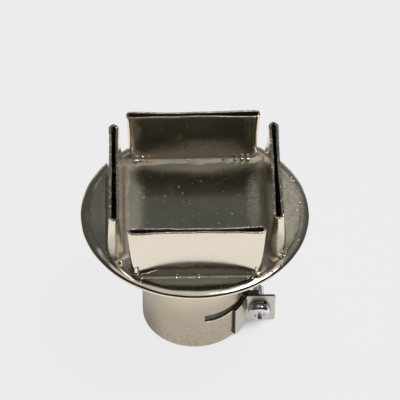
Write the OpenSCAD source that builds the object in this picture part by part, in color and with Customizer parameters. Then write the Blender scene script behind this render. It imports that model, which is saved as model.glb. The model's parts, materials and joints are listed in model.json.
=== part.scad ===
// Hot-air nozzle for square chips: a clamped neck feeds a wide round head,
// and four flat outlets on the head blow along the four edges of the chip.
// Millimetres, +Z up. The origin is the middle of the neck's open end,
// the front is -Y and the clamp's ears point along +X.

/* [Neck] */
// Inside diameter of the neck, which slips over the hot-air pipe
neck_bore_d = 22; // [20:0.1:25]
// Sheet thickness of the neck tube
neck_wall = 0.5; // [0.4:0.05:0.8]
// Length of the neck tube
neck_len = 20.3; // [18:0.1:26]

/* [Clamp band] */
// Height of the band that the clamp tightens, below the cross slit
band_h = 8; // [7:0.25:10]
// Width of the cross slit above the band
slit_w = 1.8; // [1:0.1:2.4]
// Angle that the cross slit runs to each side of the upright split
slit_reach = 64; // [40:1:75]
// Width of the upright split, and of the gap between the two ears
split_gap = 0.7; // [0.4:0.05:1.2]
// Distance of the split's middle in front of the neck's axis
split_front = 3.15; // [2:0.05:4]

/* [Clamp ears] */
// Sheet thickness of the ears
ear_t = 0.6; // [0.5:0.05:0.8]
// Length of the front ear beyond the middle of its screw hole
ear_tip = 3.5; // [2.8:0.1:5]
// Rounding of the front ear's outer corners
ear_corner_r = 0.5; // [0.2:0.1:1]
// Height of the ears' lower edge above the neck's end
ear_lift = 0.3; // [0.1:0.05:0.6]
// Angle of the neck that each ear's leaf covers
leaf_angle = 23; // [15:1:35]
// Radius in the corner between leaf and ear
bend_r = 0.25; // [0.15:0.05:0.5]
// Half width of the rear ear's round tongue
tongue_r = 2.1; // [1.9:0.05:2.6]
// Run of the sloping shoulder between the rear ear's root and its tongue
shoulder_run = 0.4; // [0.2:0.1:0.8]
// Length of the drawn collar behind the rear ear's thread
collar_len = 1; // [0.6:0.1:1.6]
// Wall of the drawn collar
collar_wall = 0.5; // [0.4:0.05:0.6]

/* [Clamp screw] */
// Thread diameter of the screw
screw_d = 2.5; // [2:0.1:3]
// Length of the shank below the head
screw_len = 7; // [5.5:0.5:10]
// Length of the tapered tip of the shank
tip_len = 0.3; // [0.1:0.05:0.6]
// Diameter of the pan head
head_d = 4.5; // [4:0.1:5.5]
// Height of the pan head
head_h = 1.8; // [1.4:0.1:2.2]
// Rounding of the pan head's edge
head_edge_r = 0.95; // [0.4:0.05:1.1]
// Span of the cross recess
recess_span = 2.5; // [1.8:0.1:3]
// Width of the cross recess's arms
recess_w = 0.65; // [0.4:0.05:0.9]
// Depth of the cross recess
recess_depth = 1; // [0.6:0.1:1.2]
// Turn of the cross recess about the screw's axis
recess_turn = 45; // [0:5:90]
// Outside diameter of the spring washer
washer_d = 5; // [4.6:0.1:6]
// Thickness of the spring washer
washer_t = 0.6; // [0.4:0.05:0.8]
// Width of the cut in the spring washer
washer_cut = 0.5; // [0.3:0.1:0.8]
// Turn of the washer's cut from upright
washer_turn = 45; // [0:5:90]

/* [Head] */
// Height of the funnel between the neck and the rim
funnel_h = 9.14; // [7:0.1:14]
// Length of the funnel's collar that laps over the neck
lap_len = 2.2; // [1.5:0.1:4]
// Sheet thickness of the funnel and its rolled rim
funnel_t = 0.6; // [0.4:0.05:0.8]
// Sheet thickness of the top plate
plate_t = 0.7; // [0.5:0.05:1]
// Width of the rolled rim, seen from above
lip_w = 1.45; // [1.3:0.05:2.5]
// Flat ledge of the funnel under the plate's edge
ledge_w = 0.4; // [0.2:0.1:0.8]

/* [Outlets] */
// Clear distance between the mouths of facing outlets
chip_space = 32.2; // [29:0.1:36]
// Length of an outlet along its mouth
mouth_len = 28.9; // [25:0.1:31]
// Thickness of an outlet across its mouth
mouth_t = 2.15; // [1.8:0.05:2.6]
// Thickness of an outlet at its foot
foot_t = 4.2; // [3:0.1:5]
// Sheet thickness of the outlets
outlet_wall = 0.55; // [0.4:0.05:0.7]
// Height of the outlets above the plate
outlet_h = 12.6; // [8:0.1:16]
// Depth that the outlets reach below the plate
foot_drop = 0.3; // [0.1:0.05:0.4]
// Leg of the brazed fillet around each outlet
fillet_leg = 1.5; // [0.8:0.1:2]
// Thickness of the brazed fillet at its thin edges
fillet_edge = 0.18; // [0.12:0.02:0.3]

/* [Clearances] */
// Gap between brazed sheets
braze_gap = 0.04; // [0.02:0.01:0.08]
// Gap between the plate's faces and the rolled rim
seam_gap = 0.03; // [0.02:0.01:0.06]
// Room between the outlets' corners and the rim's lip
corner_room = 0.2; // [0.15:0.05:1.5]
// Radial clearance of the screw in its thread
thread_play = 0.04; // [0.02:0.01:0.08]
// Radial clearance of the screw in the front ear and the washer
hole_play = 0.2; // [0.15:0.05:0.3]
// Room between the washer or the collar and the bend beside it
bend_room = 0.06; // [0.03:0.01:0.3]
// Gap between the faces of ear, washer and screw head
face_gap = 0.02; // [0.01:0.01:0.05]

/* [Hidden] */
$fn = 96;
EPS = 0.01;
CUT = 1;
END_STEPS = 16;

STEEL = [0.72, 0.69, 0.63];
NICKEL = [0.78, 0.74, 0.67];
BRAZE = [0.66, 0.62, 0.54];
ZINC = [0.84, 0.84, 0.85];

// Neck and clamp
neck_r = neck_bore_d / 2 + neck_wall;
split_angle = -asin(split_front / neck_r);
leaf_in_r = neck_r + braze_gap;
leaf_out_r = leaf_in_r + ear_t;
front_face = split_front + split_gap / 2 + ear_t;
rear_face = -split_front + split_gap / 2 + ear_t;
front_flat_x = sqrt(pow(leaf_out_r + bend_r, 2) - pow(front_face + bend_r, 2));
rear_flat_x = sqrt(pow(leaf_out_r + bend_r, 2) - pow(rear_face + bend_r, 2));
collar_r = screw_d / 2 + thread_play + collar_wall;
screw_x = max(front_flat_x + max(washer_d, head_d) / 2, rear_flat_x + collar_r) + bend_room;
screw_z = (ear_lift + band_h) / 2;
washer_y = -front_face - face_gap;
head_y = washer_y - washer_t - face_gap;

// Outlets: flattening the tube towards its mouth keeps the sheet's girth
outlet_pitch = chip_space + mouth_t;
foot_len = mouth_len - (foot_t - mouth_t) * (PI / 2 - 1);
foot_r = foot_t / 2;
corner_r = norm([foot_len / 2 - foot_r, outlet_pitch / 2]) + foot_r;

// Rolled rim and plate
curl_r = funnel_t + seam_gap + plate_t / 2;
rim_r = corner_r + corner_room + lip_w;
curl_x = rim_r - curl_r;
lip_in_r = rim_r - lip_w;
ledge_z = neck_len + funnel_h;
curl_z = ledge_z + curl_r;
plate_z = curl_z + plate_t / 2;

// Funnel's slope
lap_in_r = neck_r + braze_gap;
lap_out_r = lap_in_r + funnel_t;
slope = atan2(funnel_h, curl_x - ledge_w - lap_out_r);

// Part of a ring between two angles less than 180 degrees apart
module ring_sector(r_in, r_out, a0, a1) {
  far = 2 * r_out / cos((a1 - a0) / 4);
  mid = (a0 + a1) / 2;
  intersection() {
    difference() {
      circle(r = r_out);
      circle(r = r_in);
    }
    polygon([
      [0, 0],
      far * [cos(a0), sin(a0)],
      far * [cos(mid), sin(mid)],
      far * [cos(a1), sin(a1)]
    ]);
  }
}

// Bent sheet of a clamp ear seen from above: a leaf on the neck that bends out
// into a flat ear along +X. The ear's outer face lies at y = face.
module ear_plan(face, reach) {
  bend_x = sqrt(pow(leaf_out_r + bend_r, 2) - pow(face + bend_r, 2));
  bend_y = face + bend_r;
  bend_angle = atan2(bend_y, bend_x);
  ring_sector(leaf_in_r, leaf_out_r, bend_angle - EPS, bend_angle + leaf_angle);
  translate([bend_x, bend_y])
    ring_sector(bend_r, bend_r + ear_t, bend_angle + 180, 270);
  translate([bend_x - EPS, face - ear_t])
    square([reach - bend_x + EPS, ear_t]);
}

// Block with the given outline in X and Z, thick enough along Y for any ear
module side_outline() {
  rotate([90, 0, 0])
    linear_extrude(height = 4 * neck_r, center = true)
      children();
}

// Round bar along -Y on the screw's axis, from its rear end
module screw_bar(r, y_rear, len) {
  translate([screw_x, y_rear, screw_z])
    rotate([90, 0, 0])
      cylinder(r = r, h = len);
}

// Long hole or bar section with round ends
module obround(len, t) {
  square([len - t, t], center = true);
  for (side = [-1, 1])
    translate([side * (len - t) / 2, 0])
      circle(d = t);
}

// Room that the straight foot of an outlet along X takes, with the braze gap around it
module foot_room(z_low, z_high) {
  translate([0, 0, z_low])
    linear_extrude(height = z_high - z_low)
      obround(foot_len + 2 * braze_gap, foot_t + 2 * braze_gap);
}

// Points around an outlet's section at one height, with a wall taken off it
function section_ring(z, len, t, wall) = [
  for (side = [1, -1], step = [0:END_STEPS])
    let (a = 180 * (step / END_STEPS - side / 2), r = t / 2 - wall)
      [side * (len - t) / 2 + r * cos(a), r * sin(a), z]
];

// Places a form along X at the outlet on the given side, counted from the front
module at_outlet(turn) {
  translate([0, 0, plate_z])
    rotate([0, 0, turn])
      translate([0, -outlet_pitch / 2, 0])
        children();
}

// One outlet: a flattened tube, open at its mouth and its foot. Its rings go up the
// outside from the foot to the mouth and come down the inside.
module outlet(turn) {
  foot_z = -plate_t - foot_drop;
  rings = [
    section_ring(foot_z, foot_len, foot_t, 0),
    section_ring(fillet_leg, foot_len, foot_t, 0),
    section_ring(outlet_h, mouth_len, mouth_t, 0),
    section_ring(outlet_h, mouth_len, mouth_t, outlet_wall),
    section_ring(fillet_leg, foot_len, foot_t, outlet_wall),
    section_ring(foot_z, foot_len, foot_t, outlet_wall)
  ];
  around = len(rings[0]);
  faces = [
    for (k = [0:len(rings) - 1], i = [0:around - 1])
      let (ring = k * around, next = (k + 1) % len(rings) * around, j = (i + 1) % around)
        [ring + i, next + i, next + j, ring + j]
  ];
  color(NICKEL)
    at_outlet(turn)
      polyhedron(points = [for (ring = rings) each ring], faces = faces);
}

// Hollow-curved section of the brazed fillet
module fillet_section() {
  difference() {
    square(fillet_leg);
    translate([fillet_leg, fillet_leg])
      circle(r = fillet_leg - fillet_edge);
  }
}

// Ring of fillet around the foot of one outlet
module fillet_ring() {
  half = foot_len / 2 - foot_r;
  for (side = [0, 180])
    rotate([0, 0, side]) {
      translate([half, 0, 0])
        rotate([0, 0, -90])
          rotate_extrude(angle = 180)
            translate([foot_r - EPS, 0])
              fillet_section();
      translate([-half, foot_r - EPS, 0])
        rotate([90, 0, 90])
          linear_extrude(height = 2 * half)
            fillet_section();
    }
}

// Sub-parts

module neck_tube() {
  slit_mid_z = band_h + slit_w / 2;
  color(STEEL)
    difference() {
      cylinder(r = neck_r, h = neck_len);
      translate([0, 0, -CUT])
        cylinder(d = neck_bore_d, h = neck_len + 2 * CUT);
      translate([0, -split_front - split_gap / 2, -CUT])
        cube([2 * neck_r, split_gap, slit_mid_z + CUT]);
      translate([0, 0, band_h])
        linear_extrude(height = slit_w)
          ring_sector(
            neck_bore_d / 4, 2 * neck_r, split_angle - slit_reach, split_angle + slit_reach
          );
    }
}

module funnel() {
  run = 1 / tan(slope);
  inner_knee_z = neck_len + funnel_t * (1 - sin(slope)) / cos(slope);
  inner_top_r = lap_in_r + (ledge_z + funnel_t - inner_knee_z) * run;
  color(STEEL)
    rotate_extrude() {
      polygon([
        [lap_in_r, neck_len - lap_len],
        [lap_out_r, neck_len - lap_len],
        [lap_out_r, neck_len],
        [curl_x - ledge_w, ledge_z],
        [curl_x, ledge_z],
        [curl_x, ledge_z + funnel_t],
        [inner_top_r, ledge_z + funnel_t],
        [lap_in_r, inner_knee_z]
      ]);
      translate([curl_x, curl_z])
        intersection() {
          difference() {
            circle(r = curl_r);
            circle(r = curl_r - funnel_t);
          }
          translate([0, -curl_r])
            square(2 * curl_r);
        }
      translate([lip_in_r + funnel_t / 2, curl_z + curl_r - funnel_t]) {
        square([curl_x - lip_in_r - funnel_t / 2, funnel_t]);
        translate([0, funnel_t / 2])
          circle(d = funnel_t);
      }
    }
}

module top_plate() {
  color(NICKEL)
    difference() {
      translate([0, 0, plate_z - plate_t])
        cylinder(r = curl_x, h = plate_t);
      for (turn = [0:90:270])
        at_outlet(turn)
          foot_room(-plate_t - CUT, CUT);
    }
}

module outlet_front() {
  outlet(0);
}

module outlet_right() {
  outlet(90);
}

module outlet_back() {
  outlet(180);
}

module outlet_left() {
  outlet(270);
}

module braze_fillets() {
  color(BRAZE)
    difference() {
      intersection() {
        for (turn = [0:90:270])
          at_outlet(turn)
            fillet_ring();
        cylinder(r = lip_in_r - braze_gap, h = plate_z + outlet_h);
      }
      for (turn = [0:90:270])
        at_outlet(turn)
          foot_room(-CUT, outlet_h);
    }
}

module front_ear() {
  reach = screw_x + ear_tip;
  color(NICKEL)
    difference() {
      intersection() {
        translate([0, 0, ear_lift])
          linear_extrude(height = band_h - ear_lift)
            mirror([0, 1])
              ear_plan(front_face, reach);
        side_outline() {
          translate([0, ear_lift])
            square([reach - ear_corner_r, band_h - ear_lift]);
          translate([0, ear_lift + ear_corner_r])
            square([reach, band_h - ear_lift - 2 * ear_corner_r]);
          for (z = [ear_lift + ear_corner_r, band_h - ear_corner_r])
            translate([reach - ear_corner_r, z])
              circle(r = ear_corner_r);
        }
      }
      screw_bar(screw_d / 2 + hole_play, -split_front, 2 * front_face);
    }
}

module rear_ear() {
  tongue_x = screw_x + hole_play;
  color(NICKEL)
    difference() {
      union() {
        intersection() {
          translate([0, 0, ear_lift])
            linear_extrude(height = band_h - ear_lift)
              ear_plan(rear_face, tongue_x + tongue_r);
          side_outline() {
            polygon([
              [0, ear_lift],
              [screw_x, ear_lift],
              [screw_x + shoulder_run, screw_z - tongue_r],
              [screw_x + shoulder_run, screw_z + tongue_r],
              [screw_x, band_h],
              [0, band_h]
            ]);
            translate([screw_x - tongue_r, screw_z - tongue_r])
              square([tongue_x - screw_x + tongue_r, 2 * tongue_r]);
            translate([tongue_x, screw_z])
              circle(r = tongue_r);
          }
        }
        screw_bar(collar_r, rear_face + collar_len, collar_len + ear_t / 2);
      }
      screw_bar(screw_d / 2 + thread_play, rear_face + 2 * collar_len, 4 * collar_len + ear_t);
    }
}

module spring_washer() {
  color(ZINC)
    difference() {
      screw_bar(washer_d / 2, washer_y, washer_t);
      screw_bar(screw_d / 2 + hole_play, washer_y + CUT, washer_t + 2 * CUT);
      translate([screw_x, washer_y - washer_t / 2, screw_z])
        rotate([0, washer_turn, 0])
          translate([0, 0, washer_d / 2])
            cube([washer_cut, 2 * washer_t, washer_d], center = true);
    }
}

module clamp_screw() {
  head_r = head_d / 2;
  color(ZINC)
    translate([screw_x, head_y, screw_z])
      rotate([90, 0, 0])
        difference() {
          union() {
            rotate_extrude() {
              square([head_r - head_edge_r, head_h]);
              square([head_r, head_h - head_edge_r]);
              translate([head_r - head_edge_r, head_h - head_edge_r])
                intersection() {
                  circle(r = head_edge_r);
                  square(head_edge_r);
                }
            }
            translate([0, 0, tip_len - screw_len])
              cylinder(d = screw_d, h = screw_len - tip_len + EPS);
            translate([0, 0, -screw_len])
              cylinder(d1 = screw_d - 2 * tip_len, d2 = screw_d, h = tip_len);
          }
          for (turn = [recess_turn, recess_turn + 90])
            rotate([0, 0, turn])
              translate([0, 0, head_h])
                cube([recess_span, recess_w, 2 * recess_depth], center = true);
        }
}

neck_tube();
funnel();
top_plate();
outlet_front();
outlet_back();
outlet_left();
outlet_right();
braze_fillets();
front_ear();
rear_ear();
spring_washer();
clamp_screw();
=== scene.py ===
"""Hot-air nozzle for square chips, dressed for its portrait.

The solids of the nozzle come from the frame. Each visible piece is modelled again
over its solid, with the soft edges, pressed walls, uneven brazing and plated
finishes of the real sheet metal. All sizes are in metres, in the nozzle's own frame.
"""

from __future__ import annotations

import json
import logging
import math
from dataclasses import dataclass, field
from enum import Enum
from typing import Any, Callable, ClassVar, Sequence

import bmesh
import bpy
from mathutils import Matrix, Vector

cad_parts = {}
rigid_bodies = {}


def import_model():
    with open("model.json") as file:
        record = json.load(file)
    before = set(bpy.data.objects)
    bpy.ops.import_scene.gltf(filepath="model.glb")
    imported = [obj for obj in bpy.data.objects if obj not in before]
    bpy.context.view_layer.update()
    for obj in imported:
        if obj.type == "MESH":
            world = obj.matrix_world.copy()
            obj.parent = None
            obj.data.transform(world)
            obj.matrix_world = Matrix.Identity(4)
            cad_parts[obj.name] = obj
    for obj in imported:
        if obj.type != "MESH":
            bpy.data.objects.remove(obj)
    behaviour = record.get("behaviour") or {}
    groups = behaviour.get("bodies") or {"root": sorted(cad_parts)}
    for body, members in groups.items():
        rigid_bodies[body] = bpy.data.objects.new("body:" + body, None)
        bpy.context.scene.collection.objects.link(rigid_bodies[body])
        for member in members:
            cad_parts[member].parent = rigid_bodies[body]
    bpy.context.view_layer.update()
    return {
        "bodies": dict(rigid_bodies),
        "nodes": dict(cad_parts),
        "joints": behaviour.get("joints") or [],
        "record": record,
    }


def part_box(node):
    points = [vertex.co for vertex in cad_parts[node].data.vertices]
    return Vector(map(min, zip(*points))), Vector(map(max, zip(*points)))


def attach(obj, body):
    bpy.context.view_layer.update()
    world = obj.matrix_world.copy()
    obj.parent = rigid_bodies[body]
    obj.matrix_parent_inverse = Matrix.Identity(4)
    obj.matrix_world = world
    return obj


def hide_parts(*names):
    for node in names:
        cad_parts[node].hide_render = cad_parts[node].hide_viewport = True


LOG = logging.getLogger("nozzle")
MM = 0.001
NEAR = 1e-7

Point = tuple[float, float, float]
Colour = tuple[float, float, float]
Socket = bpy.types.NodeSocket
Value = float | Socket


class Body(Enum):
    """Rigid bodies that pieces ride on."""

    NOZZLE = "nozzle"
    WASHER = "washer"
    SCREW = "screw"


class Slot(Enum):
    """Material slots of the record."""

    NICKEL = "nickel"
    BRAZE = "braze"
    ZINC = "zinc"


class Side(Enum):
    """Sides of the head that carry an outlet, with their turn from the front in degrees."""

    FRONT = 0
    RIGHT = 90
    BACK = 180
    LEFT = 270


class Pick(Enum):
    """What a selection is made of in edit mode."""

    VERT = "VERT"
    FACE = "FACE"


@dataclass(frozen=True)
class NodeBox:
    """Corners of one solid of the frame."""

    low: Vector
    high: Vector

    @classmethod
    def of(cls, node: str) -> NodeBox:
        """Read the box of a node.

        Args:
            node: Name of the node in the frame.

        Returns:
            Its lowest and highest corners.
        """
        low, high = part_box(node)
        return cls(Vector(low), Vector(high))

    @property
    def middle(self) -> Vector:
        """Middle of the box."""
        return (self.low + self.high) / 2

    @property
    def size(self) -> Vector:
        """Size of the box along each axis."""
        return self.high - self.low


class Bench:
    """Hand tools that shape one mesh in edit mode."""

    @staticmethod
    def clear() -> None:
        """Leave edit mode and select nothing."""
        if bpy.context.object and bpy.context.object.mode != "OBJECT":
            Bench.leave()
        bpy.ops.object.select_all(action="DESELECT")

    @staticmethod
    def take(obj: bpy.types.Object) -> None:
        """Make one object the only selected and active one.

        Args:
            obj: The object.
        """
        Bench.clear()
        obj.select_set(True)
        bpy.context.view_layer.objects.active = obj

    @staticmethod
    def edit(obj: bpy.types.Object) -> None:
        """Go into edit mode on one object with all of it selected.

        Args:
            obj: The object.
        """
        Bench.take(obj)
        bpy.ops.object.mode_set(mode="EDIT")
        bpy.ops.mesh.select_all(action="SELECT")

    @staticmethod
    def leave() -> None:
        """Go back to object mode."""
        bpy.ops.object.mode_set(mode="OBJECT")

    @staticmethod
    def name(obj: bpy.types.Object, name: str) -> bpy.types.Object:
        """Name an object and its mesh.

        Args:
            obj: The object.
            name: Its new name.

        Returns:
            The object.
        """
        obj.name = name
        obj.data.name = name
        return obj

    @staticmethod
    def seat(obj: bpy.types.Object) -> None:
        """Put an object's place, turn and size into its mesh."""
        Bench.take(obj)
        bpy.ops.object.transform_apply(location=True, rotation=True, scale=True)

    @staticmethod
    def pick(obj: bpy.types.Object, test: Callable[[Vector], bool], kind: Pick = Pick.VERT) -> None:
        """Select parts of a mesh by their place, in edit mode.

        Args:
            obj: Object in edit mode.
            test: Says whether a part with that middle is selected.
            kind: Whether vertices or faces are tested.
        """
        bpy.ops.mesh.select_mode(type=kind.value)
        bpy.ops.mesh.select_all(action="DESELECT")
        mesh = bmesh.from_edit_mesh(obj.data)
        if kind is Pick.VERT:
            parts = [(vert, vert.co) for vert in mesh.verts]
        else:
            parts = [(face, face.calc_center_median()) for face in mesh.faces]
        for part, place in parts:
            part.select_set(test(place))
        mesh.select_flush_mode()
        bmesh.update_edit_mesh(obj.data)

    @staticmethod
    def pick_numbers(obj: bpy.types.Object, chosen: set[int]) -> None:
        """Select vertices by their numbers, in edit mode.

        Args:
            obj: Object in edit mode.
            chosen: Numbers of the vertices that are selected.
        """
        bpy.ops.mesh.select_mode(type="VERT")
        bpy.ops.mesh.select_all(action="DESELECT")
        mesh = bmesh.from_edit_mesh(obj.data)
        for vert in mesh.verts:
            vert.select_set(vert.index in chosen)
        mesh.select_flush_mode()
        bmesh.update_edit_mesh(obj.data)

    @staticmethod
    def trace(name: str, points: Sequence[Vector], closed: bool) -> bpy.types.Object:
        """Draw a line through points by extruding one vertex.

        Args:
            name: Name of the new object.
            points: Points of the line, in order.
            closed: Whether the last point is joined to the first.

        Returns:
            The new object, in edit mode with the whole line selected.
        """
        Bench.clear()
        bpy.ops.mesh.primitive_plane_add(size=MM)
        obj = Bench.name(bpy.context.object, name)
        bpy.ops.object.mode_set(mode="EDIT")
        bpy.ops.mesh.select_mode(type="VERT")
        bpy.ops.mesh.select_all(action="SELECT")
        bpy.ops.mesh.merge(type="CENTER")
        bpy.ops.transform.translate(value=points[0])
        for start, end in zip(points, points[1:]):
            bpy.ops.mesh.extrude_region_move(TRANSFORM_OT_translate={"value": end - start})
        if closed:
            ends = (points[0], points[-1])
            Bench.pick(obj, lambda place: min((place - end).length for end in ends) < NEAR)
            bpy.ops.mesh.edge_face_add()
        bpy.ops.mesh.select_all(action="SELECT")
        return obj

    @staticmethod
    def extrude(move: Vector) -> None:
        """Extrude the selection and move what was made."""
        bpy.ops.mesh.extrude_region_move(TRANSFORM_OT_translate={"value": move})

    @staticmethod
    def cut(place: Sequence[float], normal: Sequence[float]) -> None:
        """Cut the selected faces along a plane."""
        bpy.ops.mesh.bisect(plane_co=place, plane_no=normal, use_fill=False)

    @staticmethod
    def clean(weld: float = 1e-6) -> None:
        """Merge doubles and turn all faces outwards, in edit mode.

        Args:
            weld: Distance below which points are merged.
        """
        bpy.ops.mesh.select_all(action="SELECT")
        bpy.ops.mesh.remove_doubles(threshold=weld)
        bpy.ops.mesh.normals_make_consistent(inside=False)

    @staticmethod
    def revolve(
        name: str, profile: Sequence[tuple[float, float]], steps: int, closed: bool,
    ) -> bpy.types.Object:
        """Turn a profile about the Z axis.

        Args:
            name: Name of the new object.
            profile: Radius and height of each point.
            steps: Number of steps around the axis.
            closed: Whether the profile is a closed loop, away from the axis.

        Returns:
            The turned object, in object mode.
        """
        obj = Bench.trace(name, [Vector((r, 0, z)) for r, z in profile], closed)
        bpy.ops.mesh.spin(steps=steps, angle=math.tau, center=(0, 0, 0), axis=(0, 0, 1))
        Bench.clean()
        Bench.leave()
        return obj

    @staticmethod
    def modify(obj: bpy.types.Object, kind: str, **settings: object) -> None:
        """Add a modifier with settings and apply it.

        Args:
            obj: Object that is changed.
            kind: Blender's name of the modifier's type.
            settings: Values of the modifier's properties.
        """
        Bench.take(obj)
        modifier = obj.modifiers.new(kind.title(), kind)
        for key, value in settings.items():
            setattr(modifier, key, value)
        bpy.ops.object.modifier_apply(modifier=modifier.name)

    @staticmethod
    def thicken(
        obj: bpy.types.Object, wall: float, offset: float = -1, cut: int = 0, inside: int = 0,
    ) -> None:
        """Give a sheet its wall, towards the inside unless told otherwise.

        Args:
            obj: The sheet.
            wall: Thickness of the wall.
            offset: Side that the wall lies on, from -1 to 1.
            cut: Number of the finish that the cut edges get.
            inside: Number of the finish that the inner face gets.
        """
        while len(obj.data.materials) <= max(cut, inside):
            obj.data.materials.append(None)
        Bench.modify(
            obj, "SOLIDIFY", thickness=wall, offset=offset, use_even_offset=True, material_offset=inside,
            material_offset_rim=cut,
        )

    @staticmethod
    def soften(obj: bpy.types.Object, width: float, segments: int = 2, angle: float = 40) -> None:
        """Round the edges that are sharper than an angle.

        Args:
            obj: The object.
            width: Width of the rounding.
            segments: Number of steps across it.
            angle: The angle, in degrees.
        """
        Bench.modify(
            obj, "BEVEL", width=width, segments=segments, limit_method="ANGLE",
            angle_limit=math.radians(angle), use_clamp_overlap=True,
        )

    @staticmethod
    def shade(obj: bpy.types.Object, angle: float = 35) -> None:
        """Shade smooth where faces meet at less than an angle, led by the large faces.

        Args:
            obj: The object.
            angle: The angle, in degrees.
        """
        Bench.take(obj)
        bpy.ops.object.shade_smooth_by_angle(angle=math.radians(angle))
        Bench.modify(obj, "WEIGHTED_NORMAL", keep_sharp=True, weight=80)

    @staticmethod
    def press(
        obj: bpy.types.Object,
        depth: float,
        share: Callable[[Vector], float],
        direction: str = "NORMAL",
        lumps: float | None = None,
    ) -> None:
        """Push the surface in or out, evenly or in lumps.

        Args:
            obj: Object that is pressed.
            depth: Distance that a point with a share of 1 moves.
            share: Share of the depth at a place, from 0 to 1.
            direction: Axis or normal that points move along.
            lumps: Size of the lumps, or None for an even press.
        """
        group = obj.vertex_groups.new(name="press")
        for vert in obj.data.vertices:
            group.add([vert.index], max(0.0, min(1.0, share(vert.co))), "REPLACE")
        settings: dict[str, object] = {"strength": depth, "mid_level": 0, "direction": direction}
        texture = None
        if lumps:
            texture = bpy.data.textures.new("lumps", "CLOUDS")
            texture.noise_scale = lumps
            texture.noise_depth = 1
            settings |= {"texture": texture, "texture_coords": "LOCAL", "mid_level": 0.5}
        Bench.modify(obj, "DISPLACE", vertex_group=group.name, **settings)
        obj.vertex_groups.clear()
        if texture:
            bpy.data.textures.remove(texture)

    @staticmethod
    def carve(obj: bpy.types.Object, cutter: bpy.types.Object, operation: str = "DIFFERENCE") -> None:
        """Cut one closed mesh with another, which is used up.

        Args:
            obj: Object that is cut.
            cutter: Object that cuts it.
            operation: Blender's name of the operation.
        """
        Bench.modify(obj, "BOOLEAN", object=cutter, operation=operation, solver="EXACT")
        bpy.data.objects.remove(cutter)

    @staticmethod
    def join(name: str, parts: Sequence[bpy.types.Object]) -> bpy.types.Object:
        """Join several meshes into the first one.

        Args:
            name: Name of the joined object.
            parts: Objects that are joined.

        Returns:
            The joined object.
        """
        Bench.take(parts[0])
        for part in parts[1:]:
            part.select_set(True)
        bpy.ops.object.join()
        return Bench.name(parts[0], name)


def arc(x: float, y: float, radius: float, start: float, end: float, steps: int) -> list[tuple[float, float]]:
    """Points along an arc.

    Args:
        x: First coordinate of the arc's middle.
        y: Second coordinate of the arc's middle.
        radius: Radius of the arc.
        start: Angle of the first point, in degrees.
        end: Angle of the last point, in degrees.
        steps: Number of steps from the first point to the last.

    Returns:
        The points, with both ends.
    """
    angles = [math.radians(start + (end - start) * i / steps) for i in range(steps + 1)]
    return [(x + radius * math.cos(a), y + radius * math.sin(a)) for a in angles]


def smooth(value: float, low: float, high: float) -> float:
    """Rise smoothly from 0 at low to 1 at high, where low may be the larger one."""
    t = max(0.0, min(1.0, (value - low) / (high - low)))
    return t * t * (3 - 2 * t)


def matrix_from_axes(x: Vector, y: Vector, z: Vector, place: Vector) -> Matrix:
    """Matrix whose columns are three axes and a place."""
    rows = [(x[i], y[i], z[i], place[i]) for i in range(3)]
    return Matrix((*rows, (0, 0, 0, 1)))


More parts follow.
